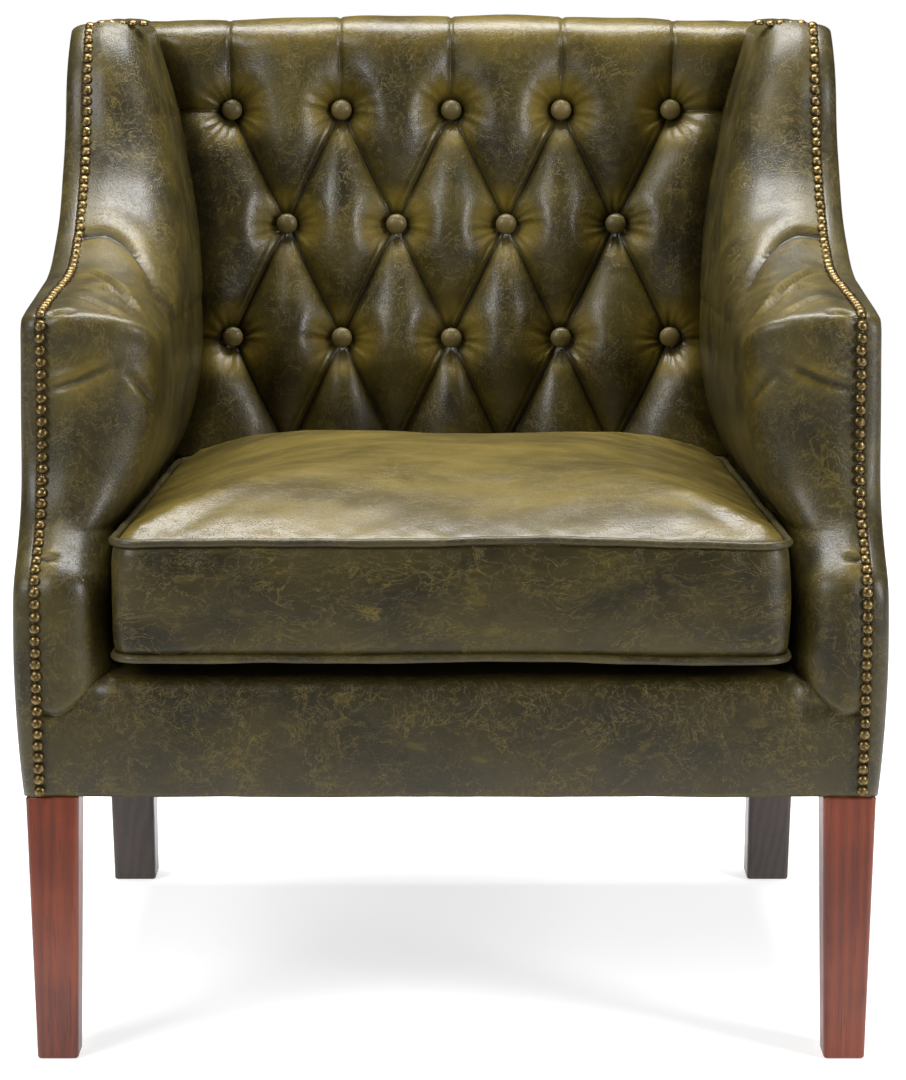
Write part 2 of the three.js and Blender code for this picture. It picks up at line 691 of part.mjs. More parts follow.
function addBack() {
  const group = section("back");
  const side = sidePadding(-2 * clearance);
  const whole = cut(backPadding(0), side, mirrored(side));
  add(group, "inside_back_cover", cut(whole, backPadding(leather)), finish.leather);
  const rails = board(postOutline(0, overallHeight - leather - edgePadding - 3,
    (z) => postFront(z) - clearance, () => overallDepth + 90), -overallWidth, overallWidth);
  const filling = backPadding(leather).translate(0, looseness, -looseness);
  add(group, "back_foam", cut(common(whole, filling), rails), finish.foam);
  const names = ["lower", "middle", "upper"];
  for (const [x, z, row, i] of buttonPlaces())
    add(group, `button_${names[row]}_${i + 1}`, button(x, z), finish.leather);
  const heights = [0, 0.1, 0.2, 0.6, 1].map((t) => mix(frameBase, overallHeight - 3, t));
  add(group, "outside_back_panel", loft(heights.map((z) => {
    const half = outsideLine(backLine(z), z) - 2;
    return [[-half, -leather], [half, -leather], [half - 1, 0], [-half + 1, 0]].map(([x, d]) =>
      [x, backLine(z) + d - yOffset, z]);
  })), finish.leatherDark);
}

// ---- Nails ----------------------------------------------------------------------------------

// One run of close nails per side: up the front edge and in along the top of the wing.
function nailRun() {
  const edge = inset(sideEdge(), -1.2);
  const path = edge.map(([d, z]) => new THREE.Vector3(nailLine(d), d - yOffset, z));
  const last = path[path.length - 1];
  path[0].z += nailWidth / 2;
  path.push(new THREE.Vector3(last.x - 6, last.y + 10, last.z + 0.3));
  path.push(new THREE.Vector3(insideLine(wingSetback, overallHeight) + 6, last.y + 12,
    last.z + 0.3));
  let length = 0;
  for (let i = 1; i < path.length; i++) length += path[i].distanceTo(path[i - 1]);
  const line = new THREE.CurvePath();
  for (let i = 1; i < path.length; i++)
    line.add(new THREE.LineCurve3(path[i - 1], path[i]));
  const count = Math.floor(length / nailPitch);
  const loops = [];
  for (let i = 0; i <= 2 * count; i++) {
    const t = (i * nailPitch) / 2 / length;
    const p = line.getPointAt(clamp01(t));
    const along = line.getTangentAt(clamp01(t));
    const onTop = Math.abs(along.x) > 0.7;
    const out = new THREE.Vector3(0, onTop ? 0 : -along.z, onTop ? 1 : along.y).normalize();
    const side = out.clone().cross(along).normalize();
    const [w, h] = i % 2 ? [nailWidth / 2, nailRise] : [nailWidth / 5, nailRise / 3];
    loops.push([[-w, 0], [0, h], [w, 0]].map(([a, b]) =>
      p.clone().addScaledVector(side, a).addScaledVector(out, b + 0.4).toArray()));
  }
  return loft(loops);
}

// ---- Seat cushion ---------------------------------------------------------------------------

// The cushion's outline seen from above, moved in by a distance, at a height.
function planLoop(inward, z) {
  const front = -cushionOverhang + inward;
  const rear = cushionRear - inward;
  const half = (d) => cushionHalf - cushionTaper * clamp01(d / cushionRear) - inward;
  const r = Math.max(3, cushionCorner - inward);
  const corners = [[half(front) - r, front + r, -90], [half(rear) - r, rear - r, 0],
    [-half(rear) + r, rear - r, 90], [-half(front) + r, front + r, 180]];
  const points = [];
  corners.forEach(([x, d, from], k) => {
    for (let i = 0; i <= 3; i++) {
      const a = THREE.MathUtils.degToRad(from + i * 30);
      points.push([x + r * Math.cos(a), d + r * Math.sin(a) - yOffset, z]);
    }
    const [nx, nd] = corners[(k + 1) % 4];
    const a = THREE.MathUtils.degToRad(from + 90);
    points.push([mix(x, nx, 0.5) + r * Math.cos(a), mix(d, nd, 0.5) + r * Math.sin(a) - yOffset, z]);
  });
  return points;
}

// A solid from stacked outlines, closed at both ends.
const stack = (rows) => loft(rows.map(([inward, z]) => planLoop(inward, z)));
// A band that follows the outline, closed round its own section.
const band = (rows) => loft(rows.map(([inward, z]) => planLoop(inward, z)), true);

function pipingRing(z) {
  const section = [0, 60, 120, 180, 240, 300].map((deg) => {
    const a = THREE.MathUtils.degToRad(deg);
    return [-piping * Math.cos(a) + 1.5, z + piping * Math.sin(a)];
  });
  return band(section);
}

function addCushion() {
  const group = section("seat_cushion");
  const edge = piping + 1.5 + clearance;
  const crown = (k) => cushionTop + cushionCrown * (1 - (1 - k) ** 2.2);
  const sag = (k) => cushionBottom - cushionSag * (1 - (1 - k) ** 2);
  const reach = cushionHalf - cushionTaper - 60;
  const steps = [0, 0.08, 0.3, 0.75];
  const upper = steps.map((k) => [edge + k * reach, crown(k)]);
  const lower = steps.map((k) => [edge + k * reach, sag(k)]);
  const down = ([i, z]) => [i + 0.2, z - leather];
  const up = ([i, z]) => [i + 0.2, z + leather];

  add(group, "cushion_top_panel", stack([...upper.map(down).reverse(), ...upper]),
    finish.leather);
  add(group, "cushion_bottom_panel", stack([...lower.map(up).reverse(), ...lower]),
    finish.leather);
  const side = (z) => {
    const k = (z - cushionBottom) / cushionThickness;
    return 3 - boxingSwell * 4 * k * (1 - k);
  };
  const rim = piping + clearance;
  const heights = [0, 0.33, 0.67, 1].map((t) =>
    mix(cushionBottom + rim, cushionTop - rim, t));
  add(group, "cushion_boxing", band([...heights.map((z) => [side(z), z]),
    ...heights.slice().reverse().map((z) => [side(z) + leather, z])]), finish.leather);
  add(group, "cushion_piping_top", pipingRing(cushionTop), finish.piping);
  add(group, "cushion_piping_bottom", pipingRing(cushionBottom), finish.piping);

  const core = edge + leather + 1;
  const bare = leather + clearance + 0.5;
  add(group, "cushion_foam", stack([
    ...lower.slice().reverse().map(([i, z]) => [i + 3, z + bare]),
    [core, cushionBottom + 8], [core, cushionTop - 8],
    ...upper.map(([i, z]) => [i + 3, z - bare])]), finish.foam);

  const z = mix(cushionBottom, cushionTop, 0.5);
  const rear = cushionRear + boxingSwell - 3 + clearance;
  add(group, "cushion_zip_slider",
    block(cushionHalf - cushionTaper - 60, cushionHalf - cushionTaper - 48, rear, rear + 3,
      z - 8, z + 8), finish.brass);
}

addLegs();
addFrame();
addPlatform();
addSides();
addBack();
addPair(section("trim"), "nail_run", nailRun(), finish.brass);
addCushion();

export default chair;
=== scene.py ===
"""Looks of a deep-buttoned olive leather armchair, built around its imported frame.

Everything is in metres, in the frame's own axes: X to the right as seen from the front, Y
backwards, Z up. Depths called ``d`` are measured backwards from the foot of the front border.
"""

import logging
import math
from dataclasses import dataclass, field
from enum import Enum
from typing import Callable, Iterable, Sequence

import bmesh
import bpy
import numpy as np
from mathutils import Euler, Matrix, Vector


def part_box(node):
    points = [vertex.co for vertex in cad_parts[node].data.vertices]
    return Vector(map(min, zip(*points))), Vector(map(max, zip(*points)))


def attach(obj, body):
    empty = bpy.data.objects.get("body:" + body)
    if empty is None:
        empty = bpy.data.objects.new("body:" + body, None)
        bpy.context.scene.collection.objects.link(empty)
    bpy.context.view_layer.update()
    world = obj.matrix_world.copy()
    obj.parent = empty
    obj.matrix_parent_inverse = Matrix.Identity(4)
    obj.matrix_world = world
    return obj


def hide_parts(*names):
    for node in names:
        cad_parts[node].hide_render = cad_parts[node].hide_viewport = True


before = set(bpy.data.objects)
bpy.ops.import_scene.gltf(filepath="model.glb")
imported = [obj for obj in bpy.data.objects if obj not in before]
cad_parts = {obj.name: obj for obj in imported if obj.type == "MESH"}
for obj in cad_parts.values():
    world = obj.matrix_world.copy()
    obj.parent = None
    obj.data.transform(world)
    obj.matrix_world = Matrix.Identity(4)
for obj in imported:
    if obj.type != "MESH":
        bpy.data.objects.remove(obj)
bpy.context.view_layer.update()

LOG = logging.getLogger("armchair")
Array = np.ndarray
SIDES = (("right", 1.0), ("left", -1.0))
LEG_SETBACK = 0.003  # the border's foot stands this far ahead of the front legs
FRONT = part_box("front_leg_right")[0].y - LEG_SETBACK
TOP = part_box("outside_panel_right")[1].z
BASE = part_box("outside_panel_right")[0].z
HALF_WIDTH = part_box("outside_panel_right")[1].x


# ---- Small tools ---------------------------------------------------------------------------


def mix(a: Array, b: Array, t: Array) -> Array:
    """Returns the value a share t of the way from a to b."""
    return a + (b - a) * t


def smooth(t: Array) -> Array:
    """Returns t held between 0 and 1 and eased at both ends."""
    held = np.clip(t, 0.0, 1.0)
    return held * held * (3.0 - 2.0 * held)


def bezier(points: Sequence[tuple[float, float]], count: int) -> Array:
    """Walks along a Bezier curve.

    Args:
        points: Control points, in any number of dimensions.
        count: How many points to return, ends included.

    Returns:
        The points as rows.
    """
    t = np.linspace(0.0, 1.0, count)[:, None]
    controls = np.array(points, float)
    degree = len(controls) - 1
    terms = [
        math.comb(degree, i) * t**i * (1 - t) ** (degree - i) * controls[i]
        for i in range(degree + 1)
    ]
    return np.sum(terms, axis=0)


def resample(path: Array, step: float) -> Array:
    """Spaces points evenly along a path.

    Args:
        path: Points as rows.
        step: Distance wanted between points.

    Returns:
        The new points as rows, ends included.
    """
    gaps = np.linalg.norm(np.diff(path, axis=0), axis=1)
    run = np.concatenate([[0.0], np.cumsum(gaps)])
    at = np.linspace(0.0, run[-1], max(2, round(run[-1] / step) + 1))
    return np.stack([np.interp(at, run, path[:, k]) for k in range(path.shape[1])], axis=1)


def ripple(points: Array, wavelength: float, seed: int, waves: int = 7) -> Array:
    """Makes a smooth random field out of plane waves.

    Args:
        points: Places with x, y and z in the last axis.
        wavelength: Middle wavelength in metres.
        seed: Picks the field.
        waves: How many plane waves are summed.

    Returns:
        A value of about -1 to 1 for each place.
    """
    random = np.random.default_rng(seed)
    total = np.zeros(points.shape[:-1])
    for _ in range(waves):
        direction = random.normal(size=3)
        direction /= np.linalg.norm(direction)
        length = wavelength * random.uniform(0.7, 1.5)
        phase = random.uniform(0.0, 2.0 * math.pi)
        total += np.sin(points @ direction * (2.0 * math.pi / length) + phase)
    return total / math.sqrt(waves * 1.6)


def path_distance(points: Array, path: Array) -> tuple[Array, Array]:
    """Measures how far places are from a path.

    Args:
        points: Places, with coordinates in the last axis.
        path: The path's points as rows.

    Returns:
        The distance of each place, and how far along the path its nearest point is, 0 to 1.
    """
    best = np.full(points.shape[:-1], np.inf)
    along = np.zeros(points.shape[:-1])
    count = len(path) - 1
    for i, (a, b) in enumerate(zip(path[:-1], path[1:])):
        span = b - a
        t = np.clip((points - a) @ span / max(float(span @ span), 1e-12), 0.0, 1.0)
        gap = np.linalg.norm(points - a - t[..., None] * span, axis=-1)
        nearer = gap < best
        best = np.where(nearer, gap, best)
        along = np.where(nearer, (i + t) / count, along)
    return best, along


def grid_normals(grid: Array) -> Array:
    """Returns unit normals of a rows by columns by 3 grid of points."""
    down = np.gradient(grid, axis=0)
    across = np.gradient(grid, axis=1)
    normal = np.cross(across, down)
    return normal / np.maximum(np.linalg.norm(normal, axis=-1, keepdims=True), 1e-12)


def mesh_object(name: str, vertices: Iterable, faces: Iterable,
                marks: dict[str, Array] | None = None) -> bpy.types.Object:
    """Makes a smooth-shaded mesh object with outward normals.

    Args:
        name: The piece's name.
        vertices: Points.
        faces: Lists of vertex numbers.
        marks: Named values, one for each vertex, that the leather reads.

    Returns:
        The object, linked to the scene.
    """
    mesh = bpy.data.meshes.new(name)
    mesh.from_pydata([tuple(v) for v in vertices], [], [tuple(f) for f in faces])
    for label, values in (marks or {}).items():
        layer = mesh.attributes.new(label, "FLOAT", "POINT")
        layer.data.foreach_set("value", np.clip(values, 0.0, 1.0).astype(np.float32))
    form = bmesh.new()
    form.from_mesh(mesh)
    bmesh.ops.remove_doubles(form, verts=form.verts, dist=1e-6)
    bmesh.ops.recalc_face_normals(form, faces=form.faces)
    form.to_mesh(mesh)
    form.free()
    mesh.polygons.foreach_set("use_smooth", [True] * len(mesh.polygons))
    piece = bpy.data.objects.new(name, mesh)
    bpy.context.scene.collection.objects.link(piece)
    return piece


def quads(rows: int, columns: int, start: int = 0, wrap: bool = False) -> list[list[int]]:
    """Lists the quads of a grid of vertices.

    Args:
        rows: Number of rows.
        columns: Vertices in a row.
        start: Number of the first vertex.
        wrap: Whether the last column joins the first.

    Returns:
        The quads as vertex numbers.
    """
    spans = columns if wrap else columns - 1
    faces = []
    for r in range(rows - 1):
        for c in range(spans):
            a = start + r * columns + c
            b = start + r * columns + (c + 1) % columns
            faces.append([a, b, b + columns, a + columns])
    return faces


def slab_object(name: str, front: Array, back: Array,
                marks: dict[str, Array] | None = None) -> bpy.types.Object:
    """Makes a closed piece from two grids of the same size that face away from each other.

    Args:
        name: The piece's name.
        front: Visible surface, rows by columns by 3.
        back: Hidden surface of the same shape.
        marks: Named values for the visible surface, rows by columns.

    Returns:
        The closed object.
    """
    rows, columns = front.shape[:2]
    shift = rows * columns
    faces = quads(rows, columns) + [f[::-1] for f in quads(rows, columns, shift)]
    rim = [r * columns for r in range(rows)]
    rim += [(rows - 1) * columns + c for c in range(1, columns)]
    rim += [r * columns + columns - 1 for r in range(rows - 2, -1, -1)]
    rim += list(range(columns - 2, 0, -1))
    for a, b in zip(rim, rim[1:] + rim[:1]):
        faces.append([a, a + shift, b + shift, b])
    points = np.concatenate([front.reshape(-1, 3), back.reshape(-1, 3)])
    keys = [tuple(p) for p in np.round(points, 7).tolist()]
    keep = [f for f in faces if len({keys[i] for i in f}) > 2]
    hidden = np.zeros(shift)
    both = {k: np.concatenate([v.reshape(-1), hidden]) for k, v in (marks or {}).items()}
    return mesh_object(name, points, keep, both)


def tube_object(name: str, path: Array, radius: Callable[[int], float], sides: int = 12,
                closed: bool = True) -> bpy.types.Object:
    """Sweeps a round section along a path.

    Args:
        name: The piece's name.
        path: Centreline points as rows.
        radius: Gives the radius at a point's number.
        sides: Corners of the section.
        closed: Whether the path joins up with itself.

    Returns:
        The tube.
    """
    count = len(path)
    ahead = np.roll(path, -1, axis=0) if closed else np.vstack([path[1:], path[-1:]])
    behind = np.roll(path, 1, axis=0) if closed else np.vstack([path[:1], path[:-1]])
    along = ahead - behind
    along /= np.linalg.norm(along, axis=1, keepdims=True)
    up = np.array([0.0, 0.0, 1.0])
    side = np.cross(along, up)
    side /= np.maximum(np.linalg.norm(side, axis=1, keepdims=True), 1e-9)
    over = np.cross(side, along)
    angles = np.linspace(0.0, 2.0 * math.pi, sides, endpoint=False)
    points = []
    for i in range(count):
        for a in angles:
            reach = side[i] * math.cos(a) + over[i] * math.sin(a)
            points.append(path[i] + reach * radius(i))
    faces = quads(count, sides, wrap=True)
    if closed:
        last = (count - 1) * sides
        faces += [[last + c, last + (c + 1) % sides, (c + 1) % sides, c] for c in range(sides)]
    else:
        faces += [list(range(sides)), [(count - 1) * sides + c for c in range(sides)][::-1]]
    return mesh_object(name, points, faces)


def lathe_points(profile: Sequence[tuple[float, float]], turns: int) -> tuple[list, list]:
    """Turns a profile about the local z axis.

    Args:
        profile: (radius, height) pairs; the first and last lie on the axis.
        turns: Number of steps round.

    Returns:
        Vertices and faces.
    """
    points = [(0.0, 0.0, profile[0][1])]
    for radius, height in profile[1:-1]:
        for i in range(turns):
            a = 2.0 * math.pi * i / turns
            points.append((radius * math.cos(a), radius * math.sin(a), height))
    points.append((0.0, 0.0, profile[-1][1]))
    faces = [[0, 1 + (i + 1) % turns, 1 + i] for i in range(turns)]
    rings = len(profile) - 2
    faces += quads(rings, turns, start=1, wrap=True)
    last, base = len(points) - 1, 1 + (rings - 1) * turns
    faces += [[last, base + i, base + (i + 1) % turns] for i in range(turns)]
    return points, faces


def dress(piece: bpy.types.Object, material: bpy.types.Material) -> None:
    """Gives a piece its material."""
    piece.data.materials.clear()
    piece.data.materials.append(material)


# ---- Shader tools --------------------------------------------------------------------------


class Shader:
    """Adds nodes to a material or node group in short steps."""

    def __init__(self, tree: bpy.types.NodeTree) -> None:
        """Keeps the tree that nodes are added to."""
        self.tree = tree

    def node(self, kind: str, inputs: dict | None = None, **settings: object) -> bpy.types.Node:
        """Adds a node.

        Args:
            kind: The node's Blender type.
            inputs: Socket name or number to a value or to the socket that feeds it.
            **settings: Properties set on the node.

        Returns:
            The new node.
        """
        made = self.tree.nodes.new(kind)
        for key, value in settings.items():
            setattr(made, key, value)
        for key, value in (inputs or {}).items():
            if isinstance(value, bpy.types.NodeSocket):
                self.tree.links.new(value, made.inputs[key])
            else:
                made.inputs[key].default_value = value
        return made

    def math(self, operation: str, *values: object, clamp: bool = False) -> bpy.types.NodeSocket:
        """Returns the result of a Math node on the given values or sockets."""
        made = self.node("ShaderNodeMath", dict(enumerate(values)), operation=operation)
        made.use_clamp = clamp
        return made.outputs[0]

    def blend(self, share: object, a: object, b: object, how: str = "MIX"
              ) -> bpy.types.NodeSocket:
        """Returns two colours mixed by a share."""
        made = self.node("ShaderNodeMix", data_type="RGBA", blend_type=how)
        for key, value in ((0, share), (6, a), (7, b)):
            if isinstance(value, bpy.types.NodeSocket):
                self.tree.links.new(value, made.inputs[key])
            else:
                made.inputs[key].default_value = value
        return made.outputs[2]

    def ramp(self, value: object, low: float, high: float, out_low: float = 0.0,
             out_high: float = 1.0) -> bpy.types.NodeSocket:
        """Returns a value taken smoothly from one range to another."""
        made = self.node("ShaderNodeMapRange", interpolation_type="SMOOTHSTEP")
        limits = (value, low, high, out_low, out_high)
        for key, limit in enumerate(limits):
            if isinstance(limit, bpy.types.NodeSocket):
                self.tree.links.new(limit, made.inputs[key])
            else:
                made.inputs[key].default_value = limit
        return made.outputs[0]

    def group(self, tree: bpy.types.NodeTree, inputs: dict) -> bpy.types.Node:
        """Places a node group with its own values."""
        made = self.node("ShaderNodeGroup")
        made.node_tree = tree
        for key, value in inputs.items():
            if isinstance(value, bpy.types.NodeSocket):
                self.tree.links.new(value, made.inputs[key])
            else:
                made.inputs[key].default_value = value
        return made


def new_group(name: str, inputs: dict[str, tuple[str, object]], outputs: dict[str, str]
              ) -> tuple[bpy.types.NodeTree, Shader, bpy.types.Node, bpy.types.Node]:
    """Starts a shader node group.

    Args:
        name: The group's name.
        inputs: Socket name to its kind and default value.
        outputs: Socket name to its kind.

    Returns:
        The tree, a Shader on it, its input node and its output node.
    """
    tree = bpy.data.node_groups.new(name, "ShaderNodeTree")
    for label, (kind, value) in inputs.items():
        made = tree.interface.new_socket(label, in_out="INPUT", socket_type=kind)
        if value is not None:
            made.default_value = value
    for label, kind in outputs.items():
        tree.interface.new_socket(label, in_out="OUTPUT", socket_type=kind)
    source = tree.nodes.new("NodeGroupInput")
    sink = tree.nodes.new("NodeGroupOutput")
    return tree, Shader(tree), source, sink


FLOAT, COLOUR, VECTOR = "NodeSocketFloat", "NodeSocketColor", "NodeSocketVector"


def hide_group() -> bpy.types.NodeTree:
    """Builds the look of pull-up hide: veins, clouds and fine pebbling.

    Returns:
        A group that puts out a Vein and a Cloud mask, a Scratch mask and a surface Height.
    """
    tree, s, source, sink = new_group(
        "hide", {"Vector": (VECTOR, None), "Vein Size": (FLOAT, 0.02), "Stretch": (FLOAT, 1.0),
                 "Pebble Size": (FLOAT, 0.0016)},
        {"Vein": FLOAT, "Cloud": FLOAT, "Scratch": FLOAT, "Height": FLOAT})
    stretch = s.node("ShaderNodeCombineXYZ", {0: source.outputs["Stretch"], 1: 1.0, 2: 1.0})
    place = s.node("ShaderNodeVectorMath", {0: source.outputs["Vector"], 1: stretch.outputs[0]},
                   operation="MULTIPLY")
    drift = s.node("ShaderNodeTexNoise", {"Vector": place.outputs[0], "Scale": 28.0,
                                          "Detail": 3.0})
    bent = s.node("ShaderNodeVectorMath", {0: drift.outputs["Color"], 1: (0.022, 0.022, 0.022),
                                           2: place.outputs[0]}, operation="MULTIPLY_ADD")
    vein_scale = s.math("DIVIDE", 1.0, source.outputs["Vein Size"])
    lines = []
    for factor, width in ((0.42, 0.010), (1.15, 0.016), (0.17, 0.006)):
        scale = s.math("MULTIPLY", vein_scale, factor)
        field = s.node("ShaderNodeTexNoise", {"Vector": bent.outputs[0], "Scale": scale,
                                              "Detail": 6.0, "Roughness": 0.6,
                                              "Distortion": 0.6})
        level = s.math("ABSOLUTE", s.math("SUBTRACT", field.outputs[0], 0.5))
        lines.append(s.ramp(level, 0.0, width, 1.0, 0.0))
    patch = s.node("ShaderNodeTexNoise", {"Vector": bent.outputs[0], "Scale": 34.0,
                                          "Detail": 4.0, "Roughness": 0.6})
    broken = s.ramp(patch.outputs[0], 0.34, 0.60, 0.12, 1.0)
    fine = s.math("MULTIPLY", lines[1], 0.75)
    both = s.math("MAXIMUM", lines[0], fine)
    every = s.math("MAXIMUM", both, s.math("MULTIPLY", lines[2], 0.8))
    s.tree.links.new(s.math("MULTIPLY", every, broken), sink.inputs["Vein"])

    cloud = s.node("ShaderNodeTexNoise", {"Vector": bent.outputs[0], "Scale": 15.0,
                                          "Detail": 6.0, "Roughness": 0.62})
    s.tree.links.new(s.ramp(cloud.outputs[0], 0.30, 0.72), sink.inputs["Cloud"])

    streak = s.node("ShaderNodeMapping", {"Vector": source.outputs["Vector"],
                                          "Rotation": (0.3, 0.5, 0.75),
                                          "Scale": (28.0, 420.0, 60.0)})
    hair = s.node("ShaderNodeTexNoise", {"Vector": streak.outputs[0], "Scale": 1.0,
                                         "Detail": 2.0})
    s.tree.links.new(s.ramp(hair.outputs[0], 0.62, 0.72), sink.inputs["Scratch"])

    pebble_scale = s.math("DIVIDE", 1.0, source.outputs["Pebble Size"])
    pebble = s.node("ShaderNodeTexVoronoi", {"Vector": source.outputs["Vector"],
                                             "Scale": pebble_scale},
                    feature="SMOOTH_F1")
    pores = s.ramp(pebble.outputs["Distance"], 0.1, 0.75, 1.0, 0.0)
    fold = s.node("ShaderNodeTexNoise", {"Vector": place.outputs[0], "Scale": 210.0,
                                         "Detail": 4.0, "Roughness": 0.55})
    grain = s.math("ADD", s.math("MULTIPLY", pores, 0.35), s.math("MULTIPLY", fold.outputs[0], 0.5))
    sunk = s.math("SUBTRACT", grain, s.math("MULTIPLY", every, 0.35))
    s.tree.links.new(sunk, sink.inputs["Height"])
    return tree


def wear_group() -> bpy.types.NodeTree:
    """Builds edge wear: a mask of rubbed ridges, and a mask of hollows that the leather paints as
    shade.

    Returns:
        A group that reads the pointiness of the surface and breaks it up.
    """
    tree, s, source, sink = new_group(
        "edge_wear", {"Pointiness": (FLOAT, 0.5), "Vector": (VECTOR, None),
                      "Spread": (FLOAT, 0.06)},
        {"Rubbed": FLOAT, "Hollow": FLOAT})
    uneven = s.node("ShaderNodeTexNoise", {"Vector": source.outputs["Vector"], "Scale": 60.0,
                                           "Detail": 4.0})
    lift = s.math("SUBTRACT", source.outputs["Pointiness"], 0.5)
    share = s.math("DIVIDE", lift, source.outputs["Spread"])
    rough = s.math("ADD", uneven.outputs[0], 0.5)
    s.tree.links.new(s.math("MULTIPLY", share, rough, clamp=True), sink.inputs["Rubbed"])
    # Hollow mask; the leather paints it as shade.
    sunk = s.math("MULTIPLY", share, -1.0)
    s.tree.links.new(s.math("MULTIPLY", sunk, rough, clamp=True), sink.inputs["Hollow"])
    return tree


def timber_group() -> bpy.types.NodeTree:
    """Builds wood figure: growth bands, fine pores and slow colour change.

    Returns:
        A group with a Figure mask, a Pore mask and a surface Height.
    """
    tree, s, source, sink = new_group(
        "timber", {"Vector": (VECTOR, None), "Band": (FLOAT, 0.006)},
        {"Figure": FLOAT, "Pore": FLOAT, "Height": FLOAT})
    long = s.node("ShaderNodeMapping", {"Vector": source.outputs["Vector"],
                                        "Scale": (1.0, 1.0, 0.07)})
    warp = s.node("ShaderNodeTexNoise", {"Vector": long.outputs[0], "Scale": 22.0,
                                         "Detail": 3.0})
    x_only = s.node("ShaderNodeSeparateXYZ", {0: long.outputs[0]})
    run = s.math("ADD", s.math("MULTIPLY", x_only.outputs[0], 1.0),
                 s.math("MULTIPLY", x_only.outputs[1], 0.6))
    bent = s.math("ADD", run, s.math("MULTIPLY", warp.outputs[0], 0.045))
    bands = s.math("SINE", s.math("MULTIPLY", s.math("DIVIDE", bent, source.outputs["Band"]), 6.28))
    figure = s.math("MULTIPLY_ADD", bands, 0.5, 0.5)
    s.tree.links.new(figure, sink.inputs["Figure"])
    grain = s.node("ShaderNodeMapping", {"Vector": source.outputs["Vector"],
                                         "Scale": (900.0, 900.0, 26.0)})
    pore = s.node("ShaderNodeTexNoise", {"Vector": grain.outputs[0], "Scale": 1.0,
                                         "Detail": 2.0})
    pores = s.ramp(pore.outputs[0], 0.56, 0.7)
    s.tree.links.new(pores, sink.inputs["Pore"])
    s.tree.links.new(s.math("SUBTRACT", s.math("MULTIPLY", figure, 0.3), pores),
                     sink.inputs["Height"])
    return tree


def weave_group() -> bpy.types.NodeTree:
    """Builds a plain weave of crossing threads.

    Returns:
        A group with a Thread mask and a surface Height.
    """
    tree, s, source, sink = new_group(
        "weave", {"Vector": (VECTOR, None), "Thread": (FLOAT, 0.0012)},
        {"Thread": FLOAT, "Height": FLOAT})
    parts = s.node("ShaderNodeSeparateXYZ", {0: source.outputs["Vector"]})
    waves = []
    for axis in (0, 1):
        turn = s.math("DIVIDE", parts.outputs[axis], source.outputs["Thread"])
        waves.append(s.math("ABSOLUTE", s.math("SINE", s.math("MULTIPLY", turn, 3.1416))))
    height = s.math("MAXIMUM", waves[0], waves[1])
    s.tree.links.new(height, sink.inputs["Height"])
    s.tree.links.new(s.ramp(height, 0.4, 0.95), sink.inputs["Thread"])
    return tree


def dust_group() -> bpy.types.NodeTree:
    """Builds a thin settling of dust on faces that look upwards.

    Returns:
        A group with one Dust mask.
    """
    tree, s, source, sink = new_group(
        "dust", {"Vector": (VECTOR, None), "Normal": (VECTOR, None), "Amount": (FLOAT, 0.1)},
        {"Dust": FLOAT})
    parts = s.node("ShaderNodeSeparateXYZ", {0: source.outputs["Normal"]})
    level = s.ramp(parts.outputs[2], 0.35, 1.0)
    speck = s.node("ShaderNodeTexNoise", {"Vector": source.outputs["Vector"], "Scale": 340.0,
                                          "Detail": 3.0})
    patchy = s.ramp(speck.outputs[0], 0.4, 0.75)
    s.tree.links.new(s.math("MULTIPLY", s.math("MULTIPLY", level, patchy),
                            source.outputs["Amount"]), sink.inputs["Dust"])
    return tree


class Effects:
    """The shared node groups, each built once."""

    def __init__(self) -> None:
        """Builds every group."""
        self.hide = hide_group()
        self.wear = wear_group()
        self.timber = timber_group()
        self.weave = weave_group()
        self.dust = dust_group()


EFFECTS = Effects()
Rgb = tuple[float, float, float]


def start_material(name: str) -> tuple[bpy.types.Material, Shader, bpy.types.Node,
                                       bpy.types.NodeSocket]:
    """Starts a node material.

    Args:
        name: The material's name.

    Returns:
        The material, a Shader on its tree, its principled shader and object coordinates.
    """
    material = bpy.data.materials.new(name)
    material.use_nodes = True
    s = Shader(material.node_tree)
    skin = next(n for n in material.node_tree.nodes if n.type == "BSDF_PRINCIPLED")
    place = s.node("ShaderNodeTexCoord").outputs["Object"]
    return material, s, skin, place


def rgba(colour: Rgb) -> tuple[float, float, float, float]:
    """Returns a colour with full alpha."""
    return (*colour, 1.0)


